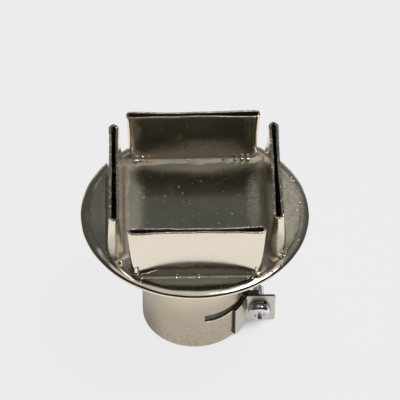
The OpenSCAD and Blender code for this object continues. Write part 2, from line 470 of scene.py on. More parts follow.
class Wiring:
    """Node tree that is made link by link."""

    def __init__(self, tree: bpy.types.NodeTree) -> None:
        """Empty a node tree.

        Args:
            tree: The tree that gets the nodes.
        """
        self.tree = tree
        self.tree.nodes.clear()

    def node(self, kind: str, **settings: object) -> bpy.types.Node:
        """Add a node with settings.

        Args:
            kind: Blender's name of the node's type.
            settings: Values of the node's properties.

        Returns:
            The node.
        """
        node = self.tree.nodes.new(kind)
        for key, value in settings.items():
            setattr(node, key, value)
        return node

    def feed(self, socket: Socket, value: Value | Sequence[float]) -> None:
        """Link a value's socket to an input, or set the input.

        Args:
            socket: The input.
            value: Socket that is linked, or the value that is set.
        """
        if isinstance(value, bpy.types.NodeSocket):
            self.tree.links.new(value, socket)
        else:
            socket.default_value = value

    def scaled(self, vector: Socket, factors: Sequence[float]) -> Socket:
        """Multiply a vector by a factor along each axis.

        Args:
            vector: The vector.
            factors: Factor along X, Y and Z.

        Returns:
            The scaled vector.
        """
        node = self.node("ShaderNodeVectorMath", operation="MULTIPLY")
        self.feed(node.inputs[0], vector)
        node.inputs[1].default_value = factors
        return node.outputs[0]

    def parts(self, vector: Socket) -> dict[str, Socket]:
        """Split a vector into its X, Y and Z.

        Args:
            vector: The vector.

        Returns:
            The three values by their axis.
        """
        node = self.node("ShaderNodeSeparateXYZ")
        self.feed(node.inputs[0], vector)
        return {socket.name: socket for socket in node.outputs}

    def math(self, operation: str, first: Value, second: Value = 0.0) -> Socket:
        """Combine two values.

        Args:
            operation: Blender's name of the operation.
            first: First value.
            second: Second value.

        Returns:
            The result.
        """
        node = self.node("ShaderNodeMath", operation=operation)
        self.feed(node.inputs[0], first)
        self.feed(node.inputs[1], second)
        return node.outputs[0]

    def total(self, *values: Value) -> Socket:
        """Add several values.

        Args:
            values: The values, at least one of them a socket.

        Returns:
            Their sum.
        """
        result = values[0]
        for value in values[1:]:
            result = self.math("ADD", result, value)
        return result

    def times(self, *values: Value) -> Socket:
        """Multiply several values.

        Args:
            values: The values, at least one of them a socket.

        Returns:
            Their product.
        """
        result = values[0]
        for value in values[1:]:
            result = self.math("MULTIPLY", result, value)
        return result

    def step(self, value: Value, low: float, high: float) -> Socket:
        """Rise smoothly from 0 to 1 while a value goes from low to high.

        Args:
            value: The value.
            low: Where the rise starts. It may be larger than high.
            high: Where the rise ends.

        Returns:
            The share of the rise.
        """
        falling = low > high
        node = self.node("ShaderNodeMapRange", interpolation_type="SMOOTHSTEP")
        self.feed(node.inputs["Value"], value)
        node.inputs["From Min"].default_value = min(low, high)
        node.inputs["From Max"].default_value = max(low, high)
        node.inputs["To Min"].default_value = 1 if falling else 0
        node.inputs["To Max"].default_value = 0 if falling else 1
        return node.outputs["Result"]

    def mix(self, share: Value, first: Value, second: Value) -> Socket:
        """Go from a first value to a second one.

        Args:
            share: Share of the second value, from 0 to 1.
            first: Value at a share of 0.
            second: Value at a share of 1.

        Returns:
            The mixed value.
        """
        node = self.node("ShaderNodeMix")
        self.feed(node.inputs["Factor"], share)
        self.feed(node.inputs["A"], first)
        self.feed(node.inputs["B"], second)
        return node.outputs["Result"]

    def mix_shaders(self, share: Value, first: Socket, second: Socket) -> Socket:
        """Go from a first shader to a second one.

        Args:
            share: Share of the second shader, from 0 to 1.
            first: Shader at a share of 0.
            second: Shader at a share of 1.

        Returns:
            The mixed shader.
        """
        node = self.node("ShaderNodeMixShader")
        self.feed(node.inputs[0], share)
        self.feed(node.inputs[1], first)
        self.feed(node.inputs[2], second)
        return node.outputs[0]


class Layer(Enum):
    """Noises of a finish, with the offset that makes each differ from the others."""

    CLOUDS = 0
    WARP = 1
    FINE = 3
    RIPPLE = 5
    SCRATCHES = 7
    PATCHES = 11
    SPECKS = 23
    FROST = 41


class Shading(Wiring):
    """Node tree of one metal finish. Lengths are in millimetres."""

    RAGGED: ClassVar[float] = 0.6
    SPOT_EDGE: ClassVar[tuple[float, float]] = (1.0, 0.45)
    DIMPLE_EDGE: ClassVar[tuple[float, float]] = (0.55, 0.2)

    def __init__(self, name: str) -> None:
        """Start a material with one metal shader.

        Args:
            name: Name of the material.
        """
        self.material = bpy.data.materials.new(name)
        self.material.use_nodes = True
        super().__init__(self.material.node_tree)
        self.shader = self.node("ShaderNodeBsdfPrincipled")
        self.shader.inputs["Metallic"].default_value = 1
        output = self.node("ShaderNodeOutputMaterial")
        self.feed(output.inputs["Surface"], self.shader.outputs["BSDF"])
        place = self.node("ShaderNodeTexCoord").outputs["Object"]
        self.place = self.scaled(place, (1 / MM, 1 / MM, 1 / MM))
        self.along = self.parts(self.place)

    def noise(
        self, layer: Layer, size: float, detail: float, stretch: Sequence[float] = (1, 1, 1), number: int = 0,
    ) -> Socket:
        """Cloudy noise.

        Args:
            layer: Which noise of the finish it is.
            size: Size of its lumps in millimetres.
            detail: How many finer layers it has.
            stretch: Factor on each axis, below 1 to draw the lumps out.
            number: Number among several noises of one kind.

        Returns:
            The noise, from 0 to 1 with a middle of about 0.5.
        """
        node = self.node("ShaderNodeTexNoise", noise_dimensions="4D")
        self.feed(node.inputs["Vector"], self.scaled(self.place, stretch))
        node.inputs["Scale"].default_value = 1 / size
        node.inputs["Detail"].default_value = detail
        node.inputs["W"].default_value = layer.value + number
        return node.outputs["Fac"]

    def swing(self, noise: Socket, reach: float) -> Socket:
        """Noise that swings to both sides of 0."""
        return self.times(self.math("SUBTRACT", noise, 0.5), reach)

    def oval(self, centre: Point, radii: Point, ragged: Socket) -> Socket:
        """Soft oval spot.

        Args:
            centre: Middle of the spot in millimetres.
            radii: Reach of the spot along each axis in millimetres.
            ragged: Noise that makes the spot's edge uneven.

        Returns:
            A value of 1 in the middle of the spot that falls to 0 at its edge.
        """
        node = self.node("ShaderNodeVectorMath", operation="SUBTRACT")
        self.feed(node.inputs[0], self.place)
        node.inputs[1].default_value = centre
        away = self.scaled(node.outputs[0], [1 / radius for radius in radii])
        length = self.node("ShaderNodeVectorMath", operation="LENGTH")
        self.feed(length.inputs[0], away)
        reach = self.total(length.outputs["Value"], self.swing(ragged, self.RAGGED))
        return self.step(reach, *self.SPOT_EDGE)

    def cells(self, size: float) -> Socket:
        """Small dimples side by side.

        Args:
            size: Distance between dimples in millimetres.

        Returns:
            A value of 1 in the middle of each dimple and 0 between them.
        """
        node = self.node("ShaderNodeTexVoronoi")
        self.feed(node.inputs["Vector"], self.place)
        node.inputs["Scale"].default_value = 1 / size
        return self.step(node.outputs["Distance"], *self.DIMPLE_EDGE)

    def blend(self, share: Value, first: Colour, second: Colour) -> Socket:
        """Mix two colours.

        Args:
            share: Share of the second colour, from 0 to 1.
            first: Colour at a share of 0.
            second: Colour at a share of 1.

        Returns:
            The mixed colour.
        """
        node = self.node("ShaderNodeMix", data_type="RGBA")
        self.feed(node.inputs["Factor"], share)
        self.feed(node.inputs["A"], (*first, 1))
        self.feed(node.inputs["B"], (*second, 1))
        return node.outputs["Result"]

    def bump(self, height: Socket, depth: float, under: Socket | None = None) -> Socket:
        """Raise the surface by a height.

        Args:
            height: Height from 0 to 1.
            depth: Depth of a height of 1, in millimetres.
            under: Normal of a bump below this one.

        Returns:
            The bumped normal.
        """
        node = self.node("ShaderNodeBump")
        node.inputs["Distance"].default_value = depth * MM
        self.feed(node.inputs["Height"], height)
        if under:
            self.feed(node.inputs["Normal"], under)
        return node.outputs["Normal"]

    def finish(self, colour: Socket, roughness: Socket, normal: Socket) -> bpy.types.Material:
        """Feed the shader and hand over the material.

        Args:
            colour: Colour of the metal.
            roughness: Roughness of its surface.
            normal: Bumped normal of its surface.

        Returns:
            The material.
        """
        self.feed(self.shader.inputs["Base Color"], colour)
        self.feed(self.shader.inputs["Roughness"], roughness)
        self.feed(self.shader.inputs["Normal"], normal)
        return self.material


@dataclass(frozen=True)
class Spot:
    """Oval patch where the finish is rougher, or smoother where its haze is below 0."""

    centre: Point
    radii: Point
    haze: float
    patchy: float = 0.0


@dataclass(frozen=True)
class Plating:
    """Bright metal plate with haze, scratches and a gentle warp. Lengths are in millimetres."""

    name: str
    tint: Colour
    dull: Colour
    gloss: float
    spread: float = 0.08
    warp: float = 0.1
    warp_size: float = 9
    ripple: float = 0.004
    ripple_size: float = 0.9
    grain: Point = (1, 1, 1)
    foot: tuple[float, float] | None = None
    foot_haze: float = 0.2
    spots: tuple[Spot, ...] = ()
    speckle: float = 0.0
    frost: float = 0.0
    hammered: tuple[float, float] | None = None
    pits: float = 0.0

    CLOUD_SIZE: ClassVar[float] = 6
    FINE_SIZE: ClassVar[float] = 0.5
    PATCH_SIZE: ClassVar[float] = 0.6
    SCRATCH_SIZE: ClassVar[float] = 0.22
    SPECK_SIZE: ClassVar[float] = 0.3
    FROST_SIZE: ClassVar[float] = 0.25
    MARK_SIZE: ClassVar[float] = 0.95
    PATCHES: ClassVar[tuple[float, float]] = (0.3, 0.62)
    SCRATCHES: ClassVar[tuple[float, float]] = (0.66, 0.8)
    SPECKS: ClassVar[tuple[float, float]] = (0.79, 0.84)
    FOOT_SWING: ClassVar[float] = 1.6
    MARK_SWING: ClassVar[float] = 14
    MEAN_CLOUD: ClassVar[float] = 0.4
    FINE_HAZE: ClassVar[float] = 0.05
    SCRATCH_HAZE: ClassVar[float] = 0.06
    SCRATCH_DEPTH: ClassVar[float] = 0.002
    MARK_DEPTH: ClassVar[float] = 0.025
    HAZE_DULLS: ClassVar[float] = 1.6
    CLOUDS_DULL: ClassVar[float] = 0.35
    ROUGHEST: ClassVar[float] = 0.7

    def hazed(self, tree: Shading, clouds: Socket) -> tuple[Value, Value]:
        """Haze at the foot and in the spots.

        Args:
            tree: Node tree of the finish.
            clouds: Noise that makes the haze uneven.

        Returns:
            The haze that adds to the roughness, and the share of frost.
        """
        haze: Value = 0.0
        frosted: Value = 0.0
        if self.foot:
            edge = tree.total(tree.along["Z"], tree.swing(clouds, self.FOOT_SWING))
            haze = tree.times(tree.step(edge, self.foot[1], self.foot[0]), self.foot_haze)
        for number, spot in enumerate(self.spots):
            noise = tree.noise(Layer.PATCHES, self.PATCH_SIZE, 4, number=number)
            patches = tree.mix(spot.patchy, 1.0, tree.step(noise, *self.PATCHES))
            reach = tree.times(tree.oval(spot.centre, spot.radii, clouds), patches)
            haze = tree.total(haze, tree.times(reach, spot.haze))
            frosted = tree.total(frosted, tree.times(reach, spot.patchy))
        return haze, frosted

    def material(self) -> bpy.types.Material:
        """Build the finish.

        Returns:
            The material.
        """
        tree = Shading(self.name)
        clouds = tree.noise(Layer.CLOUDS, self.CLOUD_SIZE, 3)
        fine = tree.noise(Layer.FINE, self.FINE_SIZE, 2)
        haze, frosted = self.hazed(tree, clouds)
        lines = tree.noise(Layer.SCRATCHES, self.SCRATCH_SIZE, 1, self.grain)
        scratches = tree.step(lines, *self.SCRATCHES)
        roughness = tree.total(
            self.gloss,
            tree.times(tree.math("SUBTRACT", clouds, self.MEAN_CLOUD), 2 * self.spread),
            tree.times(fine, self.FINE_HAZE),
            tree.times(scratches, self.SCRATCH_HAZE),
            haze,
        )
        if self.speckle:
            specks = tree.step(tree.noise(Layer.SPECKS, self.SPECK_SIZE, 0), *self.SPECKS)
            roughness = tree.total(roughness, tree.times(specks, self.speckle))
        dulled = tree.total(tree.times(haze, self.HAZE_DULLS), tree.times(clouds, self.CLOUDS_DULL))
        normal = tree.bump(tree.noise(Layer.WARP, self.warp_size, 1), self.warp)
        normal = tree.bump(tree.noise(Layer.RIPPLE, self.ripple_size, 2), self.ripple, normal)
        normal = tree.bump(scratches, self.SCRATCH_DEPTH, normal)
        if self.frost:
            grains = tree.noise(Layer.FROST, self.FROST_SIZE, 2)
            normal = tree.bump(tree.times(grains, frosted), self.frost, normal)
        if self.hammered:
            worn = tree.total(tree.along["Z"], tree.swing(clouds, self.MARK_SWING))
            marks = tree.times(tree.cells(self.MARK_SIZE), tree.step(worn, *self.hammered))
            dulled = tree.total(dulled, tree.times(marks, self.pits))
            normal = tree.bump(marks, self.MARK_DEPTH, normal)
        colour = tree.blend(tree.math("MINIMUM", dulled, 1.0), self.tint, self.dull)
        return tree.finish(colour, tree.math("MINIMUM", roughness, self.ROUGHEST), normal)


class Finishes:
    """All finishes of the nozzle."""

    TINT: Colour = (0.93, 0.84, 0.70)
    DULL: Colour = (0.76, 0.69, 0.57)

    def __init__(self, plate_top: float) -> None:
        """Make the finishes.

        Args:
            plate_top: Height of the plate's upper face in metres.
        """
        foot = plate_top / MM
        right_haze = Spot((19.4, 1, foot), (5.4, 16, 4), 0.32, 0.4)
        self.outlet = Plating(
            "outlet_nickel", self.TINT, self.DULL, 0.06, spread=0.03, warp=0.08, warp_size=8,
            grain=(1, 1, 0.06), foot=(foot + 0.3, foot + 1.6), foot_haze=0.1,
            spots=(
                Spot((0, 15.4, foot + 3), (13.5, 1.6, 4.6), 0.16, 0.4),
                Spot((5.5, 15.4, foot + 3.5), (10, 1.6, 4.5), 0.12, 0.6),
                Spot((0, -19.3, foot + 4), (15, 1.6, 4.6), 0.09, 0.3),
                Spot((-17.2, -14.2, foot + 4), (2.6, 2.2, 6), 0.36),
                Spot((17.2, -14.2, foot + 4), (2.6, 2.2, 6), 0.44),
                Spot((13, -19.3, foot + 3), (4, 1.6, 6), 0.06, 0.5),
            ),
        ).material()
        self.plate = Plating(
            "plate_nickel", (0.87, 0.85, 0.68), self.DULL, 0.125, spread=0.05, warp=0.1, warp_size=11,
            grain=(1, 0.1, 1), speckle=0.25, frost=0.008,
            spots=(
                Spot((-15, 1, foot), (5.4, 21, 4), 0.19),
                Spot((0, 15.6, foot), (21, 5.4, 4), 0.23),
                Spot((14.6, 4, foot), (3, 16, 4), 0.08),
                Spot((12.4, 3, foot), (1.7, 11, 4), 0.14, 0.8),
                Spot((0, -19.4, foot), (17, 3, 4), 0.25),
                Spot((0, -22.6, foot), (16, 2.2, 4), -0.07),
                right_haze,
                Spot((16, -14, foot), (4.5, 4.5, 4), 0.05),
                Spot((-20.6, 3, foot), (3, 11, 4), 0.06),
            ),
        ).material()
        self.rim = Plating(
            "rim_nickel", self.TINT, self.DULL, 0.1, 0.05, warp=0.05, warp_size=5, ripple=0.01,
            foot=(20.3, 22), foot_haze=0.2,
            spots=(Spot((0, 19, foot), (30, 12, 4), 0.2), right_haze),
        ).material()
        # The neck's nickel is darker than the outlets': painted shade under the head.
        self.neck = Plating(
            "neck_nickel_painted_shade", (0.86, 0.74, 0.58), (0.5, 0.42, 0.32), 0.2, warp=0.08, warp_size=7, ripple=0.012,
            ripple_size=0.8, grain=(1, 1, 0.08), hammered=(8, 1), pits=0.36,
        ).material()
        # The ears' nickel is lighter than the neck's: painted light that stands in for the brighter floor
        # they reflect.
        self.ear = Plating("ear_nickel_painted_light", (1, 0.95, 0.86), self.DULL, 0.3, warp=0.03, warp_size=4).material()
        # Inner faces of the outlet tubes: darker and rougher than their outer faces.
        self.inside = Plating("darker_inner_face", (0.6, 0.52, 0.42), (0.34, 0.29, 0.23), 0.4).material()
        self.ground = Plating(
            "ground_mouth_edge", (0.6, 0.55, 0.46), (0.28, 0.25, 0.2), 0.13, spread=0.06, warp=0.16,
            warp_size=1.3, ripple=0.2, ripple_size=0.42,
        ).material()
        # Near-black cut edges of the ear sheets: painted shadow of the gaps along them, with some darker bare
        # steel.
        self.cut = Plating("cut_edge_painted_shadow", (0.16, 0.14, 0.12), (0.1, 0.09, 0.08), 0.45).material()
        self.braze = Plating(
            "braze_metal", (0.62, 0.56, 0.47), (0.4, 0.36, 0.3), 0.58, spread=0.08, warp=0.1, warp_size=2.2,
            ripple=0.02, ripple_size=0.6,
        ).material()
        # The drops are a lighter copy of the braze metal: painted highlight that makes them glint.
        self.bright = Plating(
            "braze_drops_painted_highlight", (0.95, 0.9, 0.8), (0.8, 0.74, 0.62), 0.2, spread=0.05, warp=0.06, warp_size=1.2,
        ).material()
        self.spring = Plating(
            "spring_steel", (0.46, 0.44, 0.42), (0.22, 0.22, 0.22), 0.3, warp=0.03, warp_size=2, ripple=0.01,
        ).material()
        self.zinc = Plating(
            "zinc_plate", (0.97, 0.97, 0.98), (0.8, 0.81, 0.83), 0.14, warp=0.02, warp_size=2, ripple=0.006,
            ripple_size=0.35,
        ).material()


@dataclass(frozen=True)
class Obround:
    """Long section with round ends that lies along X. A nip above 1 makes the ends pointed."""

    length: float
    thickness: float
    nip: float = 1

    @property
    def half(self) -> float:
        """Distance of each end's middle from the section's middle."""
        return (self.length - self.thickness) / 2

    def grown(self, offset: float) -> Obround:
        """The section with an offset added all around."""
        return Obround(self.length + 2 * offset, self.thickness + 2 * offset, self.nip)

    def outline(self, y: float, z: float, columns: int, end_steps: int) -> list[Vector]:
        """Points around the section.

        Args:
            y: Place of the section's middle line.
            z: Height of the section.
            columns: Number of steps along each flat side.
            end_steps: Number of steps around each round end.

        Returns:
            The points, anticlockwise from the lower right.
        """
        radius = self.thickness / 2
        flat = [self.half * (1 - 2 * i / columns) for i in range(1, columns)]
        end = arc(0, 0, 1, -90, 90, end_steps)
        tip = [[math.copysign(abs(part) ** self.nip, part) for part in way] for way in end]
        points = [(self.half + radius * out, y + radius * up) for out, up in tip]
        points += [(x, y + radius) for x in flat]
        points += [(-self.half - radius * out, y - radius * up) for out, up in tip]
        points += [(-x, y - radius) for x in flat]
        return [Vector((px, py, z)) for px, py in points]

    def reshape(self, obj: bpy.types.Object, other: Obround, y: float, z: float) -> None:
        """Turn the ring of points at one height from this section into another.

        Args:
            obj: Object in edit mode.
            other: The section that the ring gets.
            y: Place of the ring's middle line.
            z: Height of the ring.
        """
        factor = other.thickness / self.thickness
        stretches: dict[int, set[int]] = {-1: set(), 0: set(), 1: set()}
        for vert in bmesh.from_edit_mesh(obj.data).verts:
            if abs(vert.co.z - z) < NEAR:
                end = 0 if abs(vert.co.x) < self.half - NEAR else int(math.copysign(1, vert.co.x))
                stretches[end].add(vert.index)
        for end, chosen in stretches.items():
            Bench.pick_numbers(obj, chosen)
            along = factor if end else other.half / self.half
            bpy.ops.transform.resize(value=(along, factor, 1), center_override=(end * self.half, y, z))
            bpy.ops.transform.translate(value=(end * (other.half - self.half), 0, 0))


def deliver(obj: bpy.types.Object, body: Body, slot: Slot, node: str, *finishes: bpy.types.Material) -> None:
    """Give a finished piece its materials and its body, and hide the solid of the frame that it stands for.

    Args:
        obj: The piece.
        body: Body that it rides on.
        slot: Material slot of the record; not used.
        node: Solid of the frame that it replaces.
        finishes: Materials of the piece, in the order of its faces' numbers.
    """
    numbers = [min(face.material_index, len(finishes) - 1) for face in obj.data.polygons]
    obj.data.materials.clear()
    for finish in finishes:
        obj.data.materials.append(finish)
    obj.data.polygons.foreach_set("material_index", numbers)
    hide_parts(node)
    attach(obj, body.value)
    LOG.info("%s: %d faces, rides on %s, for %s", obj.name, len(obj.data.polygons), body.value, node)


@dataclass
class Neck:
    """Rolled neck tube with a cross slit and an upright split."""

    bore_radius: float
    band: float = 8 * MM
    slit: float = 1.8 * MM
    reach: float = 64
    split: float = 0.7 * MM
    split_front: float = 3.15 * MM
    edge: float = 0.1 * MM
    brim: float = 0.6 * MM
    brim_turn: float = 0.21 * MM
    brim_ring: float = 0.78
    brim_fade: float = 8
    segments: int = 180
    box: NodeBox = field(default_factory=lambda: NodeBox.of("neck_tube"))

    @property
    def radius(self) -> float:
        """Outside radius of the tube."""
        return self.box.high.y

    @property
    def split_angle(self) -> float:
        """Direction of the split, in degrees from +X."""
        return -math.degrees(math.asin(self.split_front / self.radius))

    def in_cutout(self, place: Vector) -> bool:
        """Say whether a place lies in the slit or in the split.

        Args:
            place: A place on the tube.

        Returns:
            Whether it is cut out.
        """
        angle = math.degrees(math.atan2(place.y, place.x)) - self.split_angle
        in_slit = self.band < place.z < self.band + self.slit and abs(angle) < self.reach
        in_split = place.z < self.band and place.x > 0 and abs(place.y + self.split_front) < self.split / 2
        return in_slit or in_split

    def at_brim(self, place: Vector) -> float:
        """Share of the inward turn along the slit's lower edge.

        Args:
            place: A place on the tube.

        Returns:
            The share, from 0 below the brim to 1 at the slit.
        """
        angle = abs(math.degrees(math.atan2(place.y, place.x)) - self.split_angle)
        along = smooth(angle, self.reach, self.reach - self.brim_fade)
        rise = (place.z - self.band + self.brim) / self.brim
        return along * rise if rise > 0 and place.z < self.band + NEAR else 0.0

    def build(self, finish: bpy.types.Material) -> None:
        """Model the tube and dress it.

        Args:
            finish: Material of the tube.
        """
        length = self.box.high.z
        top = self.band + self.slit
        Bench.clear()
        bpy.ops.mesh.primitive_cylinder_add(
            vertices=self.segments, radius=self.radius, depth=length, end_fill_type="NOTHING",
            location=(0, 0, length / 2),
        )
        obj = Bench.name(bpy.context.object, "neck_shell")
        Bench.seat(obj)
        Bench.edit(obj)
        for z in (self.band - self.brim, self.band - self.brim_ring * self.brim, self.band, top):
            bpy.ops.mesh.select_all(action="SELECT")
            Bench.cut((0, 0, z), (0, 0, 1))
        for side in (-1, 1):
            Bench.pick(obj, lambda place: place.x > 0 and place.z < self.band, Pick.FACE)
            Bench.cut((0, -self.split_front + side * self.split / 2, 0), (0, 1, 0))
            angle = math.radians(self.split_angle + side * self.reach)
            Bench.pick(obj, lambda place: self.band < place.z < top, Pick.FACE)
            Bench.cut((0, 0, 0), (-math.sin(angle), math.cos(angle), 0))
        Bench.pick(obj, self.in_cutout, Pick.FACE)
        bpy.ops.mesh.delete(type="FACE")
        Bench.leave()
        Bench.press(obj, -self.brim_turn, self.at_brim)
        Bench.thicken(obj, self.radius - self.bore_radius)
        Bench.soften(obj, self.edge)
        Bench.shade(obj)
        deliver(obj, Body.NOZZLE, Slot.NICKEL, "neck_tube", finish)


@dataclass
class Funnel:
    """Pressed funnel whose edge is rolled over the plate."""

    plate: NodeBox
    neck: NodeBox
    face: float
    sheet: float = 0.6 * MM
    gap: float = 0.04 * MM
    seam: float = 0.03 * MM
    lip: float = 1.45 * MM
    lip_rise: float = 0.07 * MM
    shoulder: float = 1.7 * MM
    runout: float = 0.7 * MM
    ledge: float = 0.4 * MM
    edge: float = 0.1 * MM
    lump: float = 0.16 * MM
    lump_size: float = 4 * MM
    curl_steps: int = 14
    curl_open: float = 60
    segments: int = 200
    box: NodeBox = field(default_factory=lambda: NodeBox.of("funnel"))

    def profile(self) -> list[tuple[float, float]]:
        """Section of the funnel and its rolled rim, whose lip was beaten down to the plate.

        Returns:
            Radius and height of each point, around the section.
        """
        curl = self.sheet + self.seam + self.plate.size.z / 2
        curl_r = self.box.high.x - curl
        curl_z = self.box.high.z - curl
        ledge_z = curl_z - curl
        top = self.face + self.lip_rise
        lap_in = self.neck.high.y + self.gap
        lap_out = lap_in + self.sheet
        knee_z = self.neck.high.z
        slope = math.atan2(ledge_z - knee_z, curl_r - self.ledge - lap_out)
        inner_knee_z = knee_z + self.sheet * (1 - math.sin(slope)) / math.cos(slope)
        inner_top = lap_in + (ledge_z + self.sheet - inner_knee_z) / math.tan(slope)
        tip = self.box.high.x - self.lip - self.runout
        falls = [(i + 1) / self.curl_steps for i in range(self.curl_steps)]
        brow = self.box.high.x - self.shoulder
        points = [(lap_in, self.box.low.z), (lap_out, self.box.low.z), (lap_out, knee_z)]
        points += [(curl_r - self.ledge, ledge_z)]
        points += arc(curl_r, curl_z, curl, -90, 0, self.curl_steps)
        rise = arc(0, 0, 1, 0, 90, self.curl_steps)[1:]
        points += [(brow + self.shoulder * out, curl_z + (top - curl_z) * up) for out, up in rise]
        points += [(brow + (tip - brow) * t, top - self.lip_rise * smooth(t, 0, 1)) for t in falls]
        points += [(tip, self.face - self.sheet / 2)]
        points += arc(curl_r, curl_z, curl - self.sheet, self.curl_open, -90, self.curl_steps)
        points += [(inner_top, ledge_z + self.sheet), (lap_in, inner_knee_z)]
        return points

    def build(self, finish: bpy.types.Material) -> None:
        """Model the funnel and dress it.

        Args:
            finish: Material of the funnel.
        """
        obj = Bench.revolve("funnel_shell", self.profile(), self.segments, True)
        Bench.soften(obj, self.edge)
        low = self.plate.low.z
        Bench.press(obj, self.lump, lambda place: smooth(place.z, low - MM, low), lumps=self.lump_size)
        Bench.shade(obj)
        deliver(obj, Body.NOZZLE, Slot.NICKEL, "funnel", finish)


@dataclass(frozen=True)
class Stance:
    """How one outlet was set and squeezed by hand."""

    outer: float
    inner: float
    pinch_middle: float
    pinch_width: float
    pinch: float
    fillet_rise: float
    fillet_run: float
    fillet_outside: float
    nip: float = 1


@dataclass
class Outlet:
    """Flattened outlet tube that narrows from its foot to its mouth."""

    side: Side
    stance: Stance
    knee: float
    wall: float = 0.55 * MM
    mouth_t: float = 2.15 * MM
    edge: float = 0.24 * MM
    dent: float = 0.15 * MM
    dent_size: float = 7 * MM
    wave: float = 0.3 * MM
    wave_size: float = 6 * MM
    wave_reach: float = 4 * MM
    pinch_end: float = 5 * MM
    columns: int = 26
    rows: int = 9
    end_steps: int = 12
    edge_steps: int = 4
    shade_angle: float = 50
    box: NodeBox = field(default_factory=lambda: NodeBox.of("outlet_front"))

    @property
    def mouth(self) -> Obround:
        """Section at the mouth."""
        return Obround(self.box.size.x, self.mouth_t, self.stance.nip)

    @property
    def foot(self) -> Obround:
        """Section at the foot, with the same girth as the mouth."""
        thickness = self.box.size.y - self.stance.outer - self.stance.inner
        length = self.box.size.x - (thickness - self.mouth_t) * (math.pi / 2 - 1)
        return Obround(length, thickness, self.stance.nip)

    @property
    def foot_y(self) -> float:
        """Middle of the foot while the outlet is at the front."""
        return self.box.middle.y + (self.stance.outer - self.stance.inner) / 2

    def turn(self, obj: bpy.types.Object) -> None:
        """Turn a piece that was made at the front to the outlet's side."""
        obj.rotation_euler.z = math.radians(self.side.value)
        Bench.seat(obj)

    def pinched(self, place: Vector) -> float:
        """Share of the pinch while the outlet is at the front.

        Args:
            place: A place on the outlet.

        Returns:
            The share, from 0 at the knee and the ends to 1 in the middle of the pinch.
        """
        along = (place.x - self.stance.pinch_middle) / self.stance.pinch_width
        up = smooth(place.z, self.knee, self.box.high.z)
        end = smooth(abs(place.x), self.mouth.half, self.mouth.half - self.pinch_end)
        return math.exp(-along * along) * up * up * end

    def slot(self, low: float, high: float, room: float) -> bpy.types.Object:
        """Upright bar that cuts the outlet's slot into the plate.

        Args:
            low: Height of the bar's lower end.
            high: Height of the bar's upper end.
            room: Room around the outlet's foot.

        Returns:
            The bar, at the outlet's side.
        """
        bar = self.foot.grown(room).outline(self.foot_y, low, 1, self.end_steps)
        obj = Bench.trace("slot", bar, True)
        bpy.ops.mesh.edge_face_add()
        Bench.extrude(Vector((0, 0, high - low)))
        Bench.clean()
        Bench.leave()
        self.turn(obj)
        return obj

    def build(self, finishes: Finishes) -> None:
        """Model the outlet at the front, turn it to its side and dress it.

        Args:
            finishes: Materials of the nozzle.
        """
        y = self.box.middle.y
        top = self.box.high.z
        name = f"{self.side.name.lower()}_outlet_tube"
        ring = self.foot.outline(self.foot_y, self.box.low.z, self.columns, self.end_steps)
        obj = Bench.trace(name, ring, True)
        Bench.extrude(Vector((0, 0, self.knee - self.box.low.z)))
        Bench.extrude(Vector((0, y - self.foot_y, top - self.knee)))
        self.foot.reshape(obj, self.mouth, y, top)
        for row in range(1, self.rows):
            bpy.ops.mesh.select_all(action="SELECT")
            Bench.cut((0, 0, self.knee + (top - self.knee) * row / self.rows), (0, 0, 1))
        Bench.clean()
        Bench.leave()
        Bench.press(obj, -self.stance.pinch, self.pinched)
        self.turn(obj)
        Bench.press(obj, self.dent, lambda place: smooth(place.z, self.knee, top), lumps=self.dent_size)
        lip = top - self.wave_reach
        Bench.press(obj, self.wave, lambda place: smooth(place.z, lip, top), "Z", self.wave_size)
        Bench.thicken(obj, self.wall, cut=2, inside=1)
        Bench.soften(obj, self.edge, self.edge_steps)
        Bench.shade(obj, self.shade_angle)
        worn = (finishes.outlet, finishes.inside, finishes.ground)
        deliver(obj, Body.NOZZLE, Slot.NICKEL, f"outlet_{self.side.name.lower()}", *worn)


@dataclass
class Plate:
    """Round top plate with a slot under each outlet."""

    face: float
    outlets: Sequence[Outlet]
    room: float = 0.04 * MM
    edge: float = 0.12 * MM
    segments: int = 160
    box: NodeBox = field(default_factory=lambda: NodeBox.of("top_plate"))

    def build(self, finish: bpy.types.Material) -> None:
        """Model the plate and dress it.

        Args:
            finish: Material of the plate.
        """
        low = self.box.low.z
        Bench.clear()
        bpy.ops.mesh.primitive_cylinder_add(
            vertices=self.segments, radius=self.box.high.x, depth=self.face - low,
            location=(0, 0, (low + self.face) / 2),
        )
        obj = Bench.name(bpy.context.object, "slotted_plate")
        Bench.seat(obj)
        for outlet in self.outlets:
            Bench.carve(obj, outlet.slot(low - MM, self.face + MM, self.room))
        Bench.soften(obj, self.edge)
        Bench.shade(obj)
        deliver(obj, Body.NOZZLE, Slot.NICKEL, "top_plate", finish)


@dataclass(frozen=True)
class Bead:
    """Drop of brazing metal that set on the plate. Lengths are in millimetres."""

    x: float
    y: float
    length: float
    height: float
    turn: float = 0
    lift: float = 0


